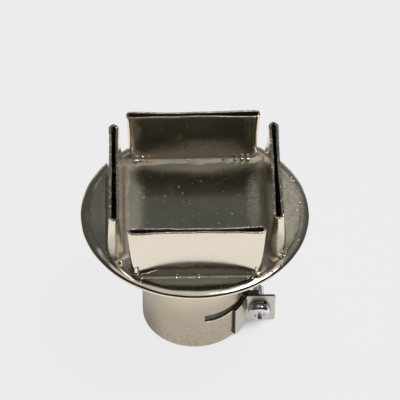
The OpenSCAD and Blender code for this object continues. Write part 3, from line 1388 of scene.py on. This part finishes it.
@dataclass
class Brazing:
    """Uneven fillets and drops of brazing metal around the outlets' feet."""

    face: float
    outlets: Sequence[Outlet]
    beads: tuple[Bead, ...]
    root: float = 0.12 * MM
    feather: float = 0.1 * MM
    sink: float = 0.04 * MM
    lump: float = 0.24 * MM
    lump_size: float = 2.4 * MM
    thin: tuple[float, float] = (21.6 * MM, 22.8 * MM)
    trim: float = 23.5 * MM
    trim_sides: int = 160
    drop_width: float = 0.62
    drop_rise: float = 0.25
    drop_lump: float = 0.5
    drop_lump_size: float = 0.4
    drop_sides: int = 20
    drop_rings: int = 12
    columns: int = 60
    end_steps: int = 16
    arc_steps: int = 9
    ring_fall: float = 1e-6
    shade_angle: float = 60

    def ring(self, outlet: Outlet) -> bpy.types.Object:
        """Model the fillet of one outlet.

        Args:
            outlet: The outlet that the fillet runs around.

        Returns:
            The fillet, a closed ring.
        """
        rise, run = outlet.stance.fillet_rise, outlet.stance.fillet_run
        section = [(-self.root, rise)]
        section += [(run * (1 + x), rise * (1 + z)) for x, z in arc(0, 0, 1, 180, 270, self.arc_steps)]
        section += [(run, -self.feather), (-self.root, -self.feather)]
        steps = [(outlet.foot.grown(offset), self.face - self.sink + height) for offset, height in section]
        ring, z = steps[0]
        obj = Bench.trace("fillet", ring.outline(outlet.foot_y, z, self.columns, self.end_steps), True)
        for number, (new_ring, new_z) in enumerate(steps[1:]):
            new_z -= (number + 1) * self.ring_fall
            Bench.pick(obj, lambda place: abs(place.z - z) < NEAR)
            Bench.extrude(Vector((0, 0, new_z - z)))
            ring.reshape(obj, new_ring, outlet.foot_y, new_z)
            ring, z = new_ring, new_z
        ends = (steps[0][1], z)
        Bench.pick(obj, lambda place: min(abs(place.z - end) for end in ends) < NEAR)
        bpy.ops.mesh.bridge_edge_loops()
        Bench.clean(NEAR)
        wall = outlet.foot_y - outlet.foot.thickness / 2
        Bench.pick(obj, lambda place: place.y < wall)
        bpy.ops.transform.resize(value=(1, outlet.stance.fillet_outside, 1), center_override=(0, wall, 0))
        Bench.leave()
        outlet.turn(obj)
        low = self.face - self.feather
        Bench.press(obj, self.lump, lambda place: smooth(place.z, low, self.face), lumps=self.lump_size)
        Bench.press(obj, -2 * rise, lambda place: self.thinned(place) / (2 * rise), "Z")
        Bench.carve(obj, self.trimmer(), "INTERSECT")
        return obj

    def thinned(self, place: Vector) -> float:
        """Height that a fillet loses at a place near the rim."""
        return smooth(place.xy.length, *self.thin) * (place.z - self.face)

    def trimmer(self) -> bpy.types.Object:
        """Model the round bar that the fillets are trimmed to, so that they end inside the rim.

        Returns:
            The bar.
        """
        Bench.clear()
        bpy.ops.mesh.primitive_cylinder_add(
            vertices=self.trim_sides, radius=self.trim, depth=self.trim, location=(0, 0, self.face),
        )
        obj = Bench.name(bpy.context.object, "trimmer")
        Bench.seat(obj)
        return obj

    def drop(self, bead: Bead) -> bpy.types.Object:
        """Model one drop of brazing metal.

        Args:
            bead: Place and size of the drop.

        Returns:
            The drop.
        """
        length, height = bead.length * MM, bead.height * MM
        Bench.clear()
        bpy.ops.mesh.primitive_uv_sphere_add(
            segments=self.drop_sides, ring_count=self.drop_rings, radius=length / 2,
        )
        obj = Bench.name(bpy.context.object, "drop")
        Bench.edit(obj)
        bpy.ops.transform.resize(value=(1, self.drop_width, 2 * height / length), center_override=(0, 0, 0))
        Bench.leave()
        rest = self.face + bead.lift * MM
        obj.location = (bead.x * MM, bead.y * MM, rest + height * self.drop_rise)
        obj.rotation_euler.z = math.radians(bead.turn)
        Bench.seat(obj)
        lump = min(length, height) * self.drop_lump
        Bench.press(obj, lump, lambda place: 1, lumps=length * self.drop_lump_size)
        return obj

    def build(self, finish: bpy.types.Material, bright: bpy.types.Material) -> None:
        """Model all fillets and drops as one cast piece and dress it.

        Args:
            finish: Material of the fillets.
            bright: Material of the drops, a lighter copy of the braze metal: painted highlight.
        """
        rings = [self.ring(outlet) for outlet in self.outlets]
        drops = [self.drop(bead) for bead in self.beads]
        for number, parts in enumerate((rings, drops)):
            for part in parts:
                part.data.materials.append(finish)
                part.data.materials.append(bright)
                part.data.polygons.foreach_set("material_index", [number] * len(part.data.polygons))
        obj = Bench.join("braze_seams", rings + drops)
        Bench.shade(obj, self.shade_angle)
        deliver(obj, Body.NOZZLE, Slot.BRAZE, "braze_fillets", finish, bright)


@dataclass
class Clamp:
    """Bent ears on the neck's band, with the spring washer and the screw."""

    neck: Neck
    screw: NodeBox
    washer: NodeBox
    sheet: float = 0.6 * MM
    gap: float = 0.04 * MM
    leaf: float = 23
    bend: float = 0.25 * MM
    corner: float = 0.5 * MM
    tongue: float = 2.1 * MM
    shoulder: float = 0.4 * MM
    hole_play: float = 0.2 * MM
    thread_play: float = 0.04 * MM
    collar: float = 1 * MM
    collar_wall: float = 0.5 * MM
    overcut: float = 1 * MM
    edge: float = 0.07 * MM
    screw_d: float = 2.5 * MM
    pitch: float = 0.45 * MM
    thread_depth: float = 0.61
    thread_half: float = 0.44
    thread_crest: float = 0.08
    thread_root: float = 0.05 * MM
    thread_start: float = 0.2 * MM
    thread_short: float = 0.3 * MM
    head_h: float = 1.8 * MM
    head_burr: float = 0.1 * MM
    head_round: float = 0.85 * MM
    crown: float = 0.3 * MM
    tip: float = 0.3 * MM
    tip_chamfer: float = 0.1 * MM
    shank_sink: float = 0.1 * MM
    recess: float = 3.7 * MM
    recess_w: float = 1.3 * MM
    recess_depth: float = 1.3 * MM
    recess_turn: float = 7
    recess_taper: Point = (0.3, 0.4, 1)
    recess_edge: float = 0.05 * MM
    washer_cut: float = 0.5 * MM
    cut_angle: float = 45
    leaf_steps: int = 10
    bend_steps: int = 6
    corner_steps: int = 5
    tongue_steps: int = 16
    bar_sides: int = 64
    washer_steps: int = 60
    head_arc: tuple[float, float] = (6, 84)
    head_steps: int = 14
    head_sides: int = 72
    shank_sides: int = 48
    thread_steps: int = 40
    recess_angle: float = 50
    front: NodeBox = field(default_factory=lambda: NodeBox.of("front_ear"))
    rear: NodeBox = field(default_factory=lambda: NodeBox.of("rear_ear"))

    @property
    def screw_x(self) -> float:
        """Place of the screw's axis along X."""
        return self.screw.middle.x

    @property
    def screw_z(self) -> float:
        """Height of the screw's axis."""
        return self.screw.middle.z

    @property
    def core(self) -> float:
        """Radius of the screw at the root of its thread."""
        return self.screw_d / 2 - self.thread_depth * self.pitch

    def plan(self, face: float, reach: float) -> list[tuple[float, float]]:
        """Outer face of a bent ear seen from above, for an ear on the +Y side of the split.

        Args:
            face: Place of the flat ear's outer face along Y.
            reach: Place of the flat ear's end along X.

        Returns:
            Points from the leaf's end to the ear's end.
        """
        outer = self.neck.radius + self.gap + self.sheet
        y = face + self.bend
        x = math.sqrt((outer + self.bend) ** 2 - y * y)
        turn = math.degrees(math.atan2(y, x))
        points = arc(0, 0, outer, turn + self.leaf, turn, self.leaf_steps)
        points += arc(x, y, self.bend, turn + 180, 270, self.bend_steps)[1:]
        return points + [(x + (reach - x) * share, face) for share in (0.5, 1)]

    def bent_sheet(self, name: str, points: Sequence[tuple[float, float]]) -> bpy.types.Object:
        """Raise a plan line into a sheet as high as the ears.

        Args:
            name: Name of the sheet.
            points: Points of its plan line.

        Returns:
            The sheet without a wall, in edit mode.
        """
        obj = Bench.trace(name, [Vector((x, y, self.front.low.z)) for x, y in points], False)
        Bench.extrude(Vector((0, 0, self.front.size.z)))
        return obj

    def bar(self, radius: float, rear: float, length: float) -> bpy.types.Object:
        """Round bar on the screw's axis, used as a cutter.

        Args:
            radius: Radius of the bar.
            rear: Place of its rear end along Y.
            length: Length of the bar towards the front.

        Returns:
            The bar.
        """
        Bench.clear()
        bpy.ops.mesh.primitive_cylinder_add(
            vertices=self.bar_sides, radius=radius, depth=length, rotation=(math.pi / 2, 0, 0),
            location=(self.screw_x, rear - length / 2, self.screw_z),
        )
        obj = Bench.name(bpy.context.object, "bar")
        Bench.seat(obj)
        return obj

    def build_front_ear(self, finish: bpy.types.Material, cut: bpy.types.Material) -> None:
        """Model the front ear and dress it.

        Args:
            finish: Material of its faces.
            cut: Material of its cut edges, near black: painted shadow along them, with some darker bare
                steel.
        """
        face = -self.front.low.y
        reach = self.front.high.x
        points = [(x, -y) for x, y in self.plan(self.flat_face(-1), reach)]
        obj = self.bent_sheet("front_clamp_ear", points)
        Bench.pick(obj, lambda place: place.x > reach - NEAR)
        bpy.ops.mesh.bevel(offset=self.corner, segments=self.corner_steps, affect="VERTICES")
        Bench.leave()
        self.wall_towards(obj, 1)
        Bench.carve(obj, self.bar(self.screw_d / 2 + self.hole_play, 0, 2 * face))
        Bench.soften(obj, self.edge)
        Bench.shade(obj)
        deliver(obj, Body.NOZZLE, Slot.NICKEL, "front_ear", finish, cut)

    def flat_face(self, sign: int) -> float:
        """Distance of the outer face of the flat ear on the side of -Y or +Y from the neck's axis."""
        return self.neck.split / 2 + self.sheet - sign * self.neck.split_front

    def wall_towards(self, obj: bpy.types.Object, sign: int) -> None:
        """Give a bent sheet its wall on the split's side.

        Args:
            obj: The sheet, drawn along its outer face.
            sign: 1 where the split lies towards +Y of the flat ear, else -1.
        """
        Bench.edit(obj)
        Bench.clean()
        Bench.leave()
        flat = max(obj.data.polygons, key=lambda face: face.center.x)
        Bench.thicken(obj, self.sheet, -1 if flat.normal.y * sign < 0 else 1, cut=1)
        Bench.edit(obj)
        Bench.clean()
        Bench.leave()

    def build_rear_ear(self, finish: bpy.types.Material, cut: bpy.types.Material) -> None:
        """Model the rear ear with its drawn collar and dress it.

        Args:
            finish: Material of its faces.
            cut: Material of its cut edges, near black: painted shadow along them, with some darker bare
                steel.
        """
        face = self.flat_face(1)
        reach = self.rear.high.x
        obj = self.bent_sheet("rear_clamp_ear", self.plan(face, reach + self.overcut))
        Bench.leave()
        self.wall_towards(obj, -1)
        low, high = self.front.low.z, self.front.high.z
        tongue_x = reach - self.tongue
        knee = self.screw_x + self.shoulder
        side = [(0.0, low), (self.screw_x, low), (knee, self.screw_z - self.tongue)]
        side += arc(tongue_x, self.screw_z, self.tongue, -90, 90, self.tongue_steps)
        side += [(knee, self.screw_z + self.tongue), (self.screw_x, high), (0.0, high)]
        points = [Vector((x, -2 * self.neck.radius, z)) for x, z in side]
        blank = Bench.trace("blank", points, True)
        bpy.ops.mesh.edge_face_add()
        Bench.extrude(Vector((0, 4 * self.neck.radius, 0)))
        Bench.clean()
        Bench.leave()
        Bench.carve(obj, blank, "INTERSECT")
        bore = self.screw_d / 2 + self.thread_play
        collar_end = self.collar_end
        collar = self.bar(bore + self.collar_wall, collar_end, collar_end - face + self.sheet / 2)
        Bench.carve(obj, collar, "UNION")
        Bench.carve(obj, self.bar(bore, collar_end + self.overcut, 4 * self.overcut))
        Bench.soften(obj, self.edge)
        Bench.shade(obj)
        deliver(obj, Body.NOZZLE, Slot.NICKEL, "rear_ear", finish, cut)

    @property
    def collar_end(self) -> float:
        """Place of the collar's rear end along Y."""
        return -self.neck.split_front + self.neck.split / 2 + self.sheet + self.collar

    def lay(self, obj: bpy.types.Object, y: float) -> None:
        """Turn a piece made along +Z to point along -Y on the screw's axis.

        Args:
            obj: The piece.
            y: Place of its foot along Y.
        """
        obj.rotation_euler.x = math.pi / 2
        obj.location = (self.screw_x, y, self.screw_z)
        Bench.seat(obj)

    def build_washer(self, finish: bpy.types.Material) -> None:
        """Model the split spring washer and dress it.

        Args:
            finish: Material of the washer.
        """
        outer = self.washer.size.x / 2
        inner = self.screw_d / 2 + self.hole_play
        height = self.washer.size.y
        open_angle = self.washer_cut / ((outer + inner) / 2)
        corners = [(inner, 0), (outer, 0), (outer, height), (inner, height)]
        obj = Bench.trace("split_spring_washer", [Vector((r, 0, z)) for r, z in corners], True)
        bpy.ops.mesh.edge_face_add()
        start = math.radians(self.cut_angle) + open_angle / 2
        bpy.ops.mesh.spin(
            steps=self.washer_steps, angle=math.tau - open_angle, center=(0, 0, 0), axis=(0, 0, 1),
        )
        Bench.clean()
        Bench.leave()
        obj.rotation_euler.z = start
        Bench.seat(obj)
        self.lay(obj, self.washer.high.y)
        Bench.soften(obj, self.edge)
        Bench.shade(obj)
        deliver(obj, Body.WASHER, Slot.ZINC, "spring_washer", finish)

    def thread(self, length: float) -> bpy.types.Object:
        """Ridge of the screw's thread, wound about +Z.

        Args:
            length: Length of the thread.

        Returns:
            The ridge with closed ends.
        """
        outer = self.screw_d / 2
        root = self.core - self.thread_root
        half = self.thread_half * self.pitch
        crest = self.thread_crest * self.pitch
        corners = [(root, -half), (outer, -crest), (outer, crest), (root, half)]
        obj = Bench.trace("thread", [Vector((r, 0, z)) for r, z in corners], True)
        Bench.leave()
        turns = int(length / self.pitch)
        Bench.modify(
            obj, "SCREW", axis="Z", angle=math.tau, screw_offset=self.pitch, iterations=turns,
            steps=self.thread_steps, render_steps=self.thread_steps, use_merge_vertices=False,
            use_normal_calculate=True,
        )
        Bench.edit(obj)
        bpy.ops.mesh.select_mode(type="EDGE")
        bpy.ops.mesh.select_non_manifold(extend=False)
        bpy.ops.mesh.edge_face_add()
        Bench.clean()
        Bench.leave()
        return obj

    def build_screw(self, finish: bpy.types.Material) -> None:
        """Model the pan-head screw with its cross recess and thread, and dress it.

        Args:
            finish: Material of the screw.
        """
        head_r = self.screw.size.x / 2 + self.head_burr
        flat_r = head_r - self.head_round
        side = self.head_h - self.head_round - self.crown
        length = self.screw.size.y - self.head_h
        profile = [(0.0, 0.0), (head_r, 0.0), (head_r, side)]
        profile += arc(flat_r, side, self.head_round, *self.head_arc, self.head_steps)
        profile += [(flat_r / 2, self.head_h - self.crown / 4), (0.0, self.head_h)]
        head = Bench.revolve("clamp_pan_screw", profile, self.head_sides, False)
        for turn in (self.recess_turn, self.recess_turn + 90):
            Bench.carve(head, self.recess_bar(turn))
        Bench.soften(head, self.recess_edge, angle=self.recess_angle)
        shank = [(0.0, -length), (self.core - self.tip_chamfer, -length), (self.core, self.tip - length)]
        shank += [(self.core, self.shank_sink), (0.0, self.shank_sink)]
        rod = Bench.revolve("shank", shank, self.shank_sides, False)
        ridge = self.thread(length - self.tip - self.thread_short)
        ridge.location.z = -length + self.tip + self.thread_start
        Bench.seat(ridge)
        obj = Bench.join("clamp_pan_screw", [head, rod, ridge])
        self.lay(obj, self.screw.low.y + self.head_h)
        Bench.shade(obj)
        deliver(obj, Body.SCREW, Slot.ZINC, "clamp_screw", finish)

    def recess_bar(self, turn: float) -> bpy.types.Object:
        """Tapered cutter for one arm of the cross recess.

        Args:
            turn: Turn of the arm in degrees.

        Returns:
            The cutter.
        """
        Bench.clear()
        bpy.ops.mesh.primitive_cube_add(size=1)
        obj = Bench.name(bpy.context.object, "recess")
        obj.scale = (self.recess, self.recess_w, 2 * self.recess_depth)
        Bench.seat(obj)
        Bench.edit(obj)
        Bench.pick(obj, lambda place: place.z < 0)
        bpy.ops.transform.resize(value=self.recess_taper, center_override=(0, 0, 0))
        Bench.leave()
        obj.location.z = self.head_h
        obj.rotation_euler.z = math.radians(turn)
        Bench.seat(obj)
        return obj

    def build(self, finishes: Finishes) -> None:
        """Model and dress the whole clamp.

        Args:
            finishes: Materials of the nozzle.
        """
        self.build_front_ear(finishes.ear, finishes.cut)
        self.build_rear_ear(finishes.ear, finishes.cut)
        self.build_washer(finishes.spring)
        self.build_screw(finishes.zinc)


@dataclass
class Studio:
    """Pale floor, soft light and the camera."""

    azimuth: float = -1.60
    elevation: float = 46.08
    roll: float = 0.34
    distance: float = 0.6
    lens: float = 252.77
    sensor: float = 36
    clip_start: float = 0.01
    target_side: float = 1.09 * MM
    target_height: float = 34.52 * MM
    floor_size: float = 6.0
    pale: float = 0.81
    glow_share: float = 0.92
    shade_reach: float = 0.09
    seen_shade: tuple[float, float] = (-0.05, 0.42)
    # Painted shadow on the floor as reflections see it: a disc under the head, and a ring beside the neck on
    # its left, away from the front.
    head_shade: tuple[float, float] = (0.0215, 0.0255)
    neck_shade: tuple[float, float] = (0.0105, 0.021)
    neck_shadow_level: float = 0.5
    neck_shadow_front: tuple[float, float] = (-0.012, -0.005)
    neck_shadow_side: tuple[float, float] = (0.006, -0.006)
    bore_shade: tuple[float, float] = (0.0, 0.2)
    shade_level: float = 0.62
    # Painted dimming of the floor far away, as reflections see it.
    floor_reach: tuple[float, float] = (0.1, 0.28)
    far_floor: float = 0.1
    overhead: tuple[float, float] = (0.85, 0.92)
    overhead_lean: float = 8
    overhead_light: float = 0.52
    backdrop_side: tuple[float, float] = (0.72, 0.95)
    backdrop_rise: tuple[float, float] = (0.45, 0.05)
    backdrop: float = 0.5
    front_wall: float = 0.012
    front_low: float = 0.035
    front_rise: tuple[float, float] = (0.62, 0.4)
    back_wall: float = 0.07
    wall_turn: tuple[float, float] = (-0.2, 0.6)
    lamp_size: float = 0.34
    lamp_power: float = 2.7
    lamp_place: Point = (0.32, 0.04, 0.85)

    def camera(self) -> None:
        """Place the camera as the photograph was taken."""
        az, el, roll = (math.radians(a) for a in (self.azimuth, self.elevation, self.roll))
        back = Vector((math.sin(az) * math.cos(el), -math.cos(az) * math.cos(el), math.sin(el)))
        right = Vector((math.cos(az), math.sin(az), 0))
        up = back.cross(right)
        across = math.cos(roll) * right + math.sin(roll) * up
        upward = -math.sin(roll) * right + math.cos(roll) * up
        target = Vector((0, 0, self.target_height)) + self.target_side * right
        data = bpy.data.cameras.new("portrait")
        data.lens = self.lens
        data.sensor_width = self.sensor
        data.clip_start = self.clip_start
        camera = bpy.data.objects.new("portrait", data)
        bpy.context.scene.collection.objects.link(camera)
        camera.matrix_world = matrix_from_axes(across, upward, back, target + back * self.distance)
        bpy.context.scene.camera = camera

    def floor(self) -> None:
        """Lay a pale floor with a soft shadow. In reflections it carries painted shadow under the head and
        beside the neck, and painted dimming far to the front and sides.
        """
        Bench.clear()
        bpy.ops.mesh.primitive_grid_add(x_subdivisions=4, y_subdivisions=4, size=self.floor_size)
        floor = Bench.name(bpy.context.object, "floor")
        material = bpy.data.materials.new("pale_floor")
        material.use_nodes = True
        tree = Wiring(material.node_tree)
        path = tree.node("ShaderNodeLightPath").outputs
        near = tree.node("ShaderNodeAmbientOcclusion")
        near.inputs["Distance"].default_value = self.shade_reach
        place = tree.parts(tree.node("ShaderNodeNewGeometry").outputs["Position"])
        # Painted dimming: the floor grows dim far to the front and sides, seen in reflections.
        front = tree.math("MINIMUM", place["Y"])
        away = tree.math("SQRT", tree.total(tree.times(place["X"], place["X"]), tree.times(front, front)))
        far = tree.mix(tree.step(away, *self.floor_reach), 1.0, self.far_floor)
        # Painted shadow under the head and beside the neck, placed by distance from the axis and seen in
        # reflections.
        beside = tree.math("SQRT", tree.total(*(tree.times(place[axis], place[axis]) for axis in "XY")))
        painted_head_shadow = tree.mix(tree.step(beside, *self.head_shade), self.shade_level, 1.0)
        painted_neck_shadow = tree.mix(tree.step(beside, *self.neck_shade), self.neck_shadow_level, 1.0)
        neck_shadow_zone = tree.times(tree.step(place["Y"], *self.neck_shadow_front), tree.step(place["X"], *self.neck_shadow_side))
        painted_neck_shadow = tree.mix(neck_shadow_zone, 1.0, painted_neck_shadow)
        painted_reflection_level = tree.times(tree.step(near.outputs["AO"], *self.bore_shade), painted_head_shadow, painted_neck_shadow, far)
        level = tree.mix(path["Is Camera Ray"], painted_reflection_level, tree.step(near.outputs["AO"], *self.seen_shade))
        glow = tree.node("ShaderNodeEmission")
        tree.feed(glow.inputs["Strength"], tree.times(level, self.pale / self.glow_share))
        matte = tree.node("ShaderNodeBsdfDiffuse")
        matte.inputs["Color"].default_value = (self.pale, self.pale, self.pale, 1)
        seen = tree.total(path["Is Camera Ray"], path["Is Glossy Ray"], path["Is Transmission Ray"])
        share = tree.times(tree.math("MINIMUM", seen, 1.0), self.glow_share)
        output = tree.node("ShaderNodeOutputMaterial")
        tree.feed(output.inputs["Surface"], tree.mix_shaders(share, matte.outputs[0], glow.outputs[0]))
        floor.data.materials.append(material)

    def world(self) -> None:
        """Make a dim room with a broad light overhead and a pale backdrop low behind."""
        world = bpy.data.worlds.new("room")
        bpy.context.scene.world = world
        world.use_nodes = True
        tree = Wiring(world.node_tree)
        path = tree.node("ShaderNodeLightPath").outputs
        way = tree.parts(tree.node("ShaderNodeTexCoord").outputs["Generated"])
        lean = math.radians(self.overhead_lean)
        height = tree.total(tree.times(way["Z"], math.cos(lean)), tree.times(way["Y"], math.sin(lean)))
        overhead = tree.times(tree.step(height, *self.overhead), self.overhead_light)
        behind = tree.step(way["Y"], *self.backdrop_side)
        behind = tree.times(behind, tree.step(way["Z"], *self.backdrop_rise), self.backdrop)
        front = tree.mix(tree.step(way["Z"], *self.front_rise), self.front_wall, self.front_low)
        walls = tree.mix(tree.step(way["Y"], *self.wall_turn), front, self.back_wall)
        room = tree.node("ShaderNodeBackground")
        tree.feed(room.inputs["Strength"], tree.total(overhead, behind, walls))
        room.inputs["Color"].default_value = (1, 1, 1, 1)
        pale = tree.node("ShaderNodeBackground")
        pale.inputs["Color"].default_value = (self.pale, self.pale, self.pale, 1)
        output = tree.node("ShaderNodeOutputWorld")
        surface = tree.mix_shaders(path["Is Camera Ray"], room.outputs[0], pale.outputs[0])
        tree.feed(output.inputs["Surface"], surface)

    def lamps(self) -> None:
        """Hang a soft light above the nozzle."""
        data = bpy.data.lights.new("softbox", "AREA")
        data.shape = "DISK"
        data.size = self.lamp_size
        data.energy = self.lamp_power
        lamp = bpy.data.objects.new("softbox", data)
        lamp.location = self.lamp_place
        bpy.context.scene.collection.objects.link(lamp)

    def build(self) -> None:
        """Set up the whole studio."""
        bpy.context.scene.view_settings.view_transform = "Standard"
        self.camera()
        self.floor()
        self.world()
        self.lamps()


class Nozzle:
    """The whole nozzle, dressed over its frame."""

    FLUSH: float = 0.28 * MM
    STANCES: dict[Side, Stance] = {
        Side.FRONT: Stance(
            outer=0.475 * MM, inner=0, pinch_middle=0, pinch_width=12 * MM, pinch=0.36 * MM,
            fillet_rise=0.5 * MM, fillet_run=1.1 * MM, fillet_outside=1, nip=1.2,
        ),
        Side.RIGHT: Stance(
            outer=0.5 * MM, inner=0, pinch_middle=4 * MM, pinch_width=7 * MM, pinch=0.16 * MM,
            fillet_rise=0.9 * MM, fillet_run=1.6 * MM, fillet_outside=0.4, nip=1.5,
        ),
        Side.BACK: Stance(
            outer=0, inner=0.6 * MM, pinch_middle=3 * MM, pinch_width=9 * MM, pinch=0.3 * MM,
            fillet_rise=0.7 * MM, fillet_run=2.2 * MM, fillet_outside=0.5, nip=0.75,
        ),
        Side.LEFT: Stance(
            outer=0.45 * MM, inner=0.2 * MM, pinch_middle=-10 * MM, pinch_width=9 * MM, pinch=0.14 * MM,
            fillet_rise=0.9 * MM, fillet_run=1.7 * MM, fillet_outside=0.4, nip=1.35,
        ),
    }
    BEADS: tuple[Bead, ...] = (
        # In the crease before the back outlet
        Bead(-12.5, 15, 1.7, 0.42, 5, 0.3), Bead(-11.1, 15.1, 1.1, 0.38, 0, 0.3),
        Bead(-9.9, 15.1, 0.7, 0.3, 0, 0.3), Bead(-1.2, 15.2, 0.5, 0.2, 0, 0.3),
        Bead(6.6, 15.2, 0.7, 0.25, 0, 0.3), Bead(9.2, 15.1, 0.9, 0.33, 10, 0.3),
        Bead(10.6, 15.1, 1, 0.36, 0, 0.3), Bead(11.9, 15, 1.2, 0.4, -10, 0.3),
        # At the front ends of the right and left outlets
        Bead(18.8, -12.7, 1.2, 0.55, 60), Bead(17.9, -14.3, 1.1, 0.5, -30), Bead(19.3, -11.6, 0.5, 0.25),
        Bead(-15.9, -14.6, 1.5, 0.4, 50), Bead(-18.2, -13.2, 1.1, 0.45, 20), Bead(-18.8, -12, 0.8, 0.3),
        # Along the foot of the front outlet
        Bead(12.4, -18.7, 0.8, 1.3, 0, 0.9), Bead(11.6, -19.4, 0.9, 0.35, 20), Bead(13, -19.2, 1, 0.4, -35),
        Bead(10.6, -19.5, 0.6, 0.22), Bead(13.9, -19.1, 0.5, 0.2),
        Bead(-12.5, -18.6, 1.2, 1.6, 0, 1.1), Bead(-11.6, -19.4, 0.9, 0.3, -20),
        Bead(-4.3, -19.2, 0.8, 0.16), Bead(-3, -19.1, 0.5, 0.15), Bead(-1.9, -19.2, 0.8, 0.16),
        Bead(0.3, -19.2, 0.9, 0.15), Bead(2.9, -19.3, 0.5, 0.15), Bead(6, -19.3, 0.5, 0.14),
        # Along the rim
        Bead(20, 12.8, 0.6, 0.2), Bead(21.3, 9.7, 0.5, 0.18), Bead(21.7, 8.6, 0.5, 0.2),
        Bead(22.4, 6, 0.7, 0.22, 70), Bead(22.6, 2.1, 0.8, 0.24, 80), Bead(21.9, -0.2, 0.5, 0.2),
        Bead(21.9, -8.9, 0.5, 0.2), Bead(17.9, -16, 0.6, 0.25), Bead(16, -17.8, 0.6, 0.25, 30),
        Bead(15.2, -18.5, 0.5, 0.2),
        # On the plate outside and inside the outlets
        Bead(19, 1.3, 0.5, 0.16), Bead(19.9, 1.6, 0.45, 0.16), Bead(21.6, 1.3, 0.5, 0.16),
        Bead(19.6, 0.4, 0.4, 0.14), Bead(21, 8.8, 0.5, 0.16), Bead(-10.8, 4.5, 0.4, 0.18),
        Bead(1.5, 8.9, 0.4, 0.18), Bead(-2.5, 5.5, 0.4, 0.18), Bead(-3.3, 7.5, 0.35, 0.16),
        Bead(-6.4, 4.7, 0.36, 0.17), Bead(-11.8, 6, 0.36, 0.17), Bead(4.7, -0.5, 0.35, 0.16),
        Bead(4.9, -3.5, 0.35, 0.16), Bead(7.9, -0.8, 0.32, 0.15),
    )

    def __init__(self, frame: dict[str, Any]) -> None:
        """Read the sizes that the pieces share.

        Args:
            frame: The loaded frame.
        """
        mounts = {mount["name"]: mount for mount in frame["record"]["mounts"]}
        bore = mounts["neck_clamp"]["dims"]["r_mm"] * MM
        plate = NodeBox.of("top_plate")
        face = plate.high.z + self.FLUSH
        knee = NodeBox.of("braze_fillets").high.z
        self.neck = Neck(bore)
        self.funnel = Funnel(plate, self.neck.box, face)
        self.outlets = [Outlet(side, self.STANCES[side], knee) for side in Side]
        self.plate = Plate(face, self.outlets)
        self.brazing = Brazing(face, self.outlets, self.BEADS)
        self.clamp = Clamp(self.neck, NodeBox.of("clamp_screw"), NodeBox.of("spring_washer"))
        self.finishes = Finishes(face)

    def build(self) -> None:
        """Build and dress all pieces."""
        self.neck.build(self.finishes.neck)
        self.funnel.build(self.finishes.rim)
        self.plate.build(self.finishes.plate)
        for outlet in self.outlets:
            outlet.build(self.finishes)
        self.brazing.build(self.finishes.braze, self.finishes.bright)
        self.clamp.build(self.finishes)


def main() -> None:
    """Load the frame, dress the nozzle and set up the studio."""
    logging.basicConfig(level=logging.INFO, format="%(name)s %(message)s")
    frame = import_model()
    Nozzle(frame).build()
    Studio().build()


if __name__ == "__main__":
    main()
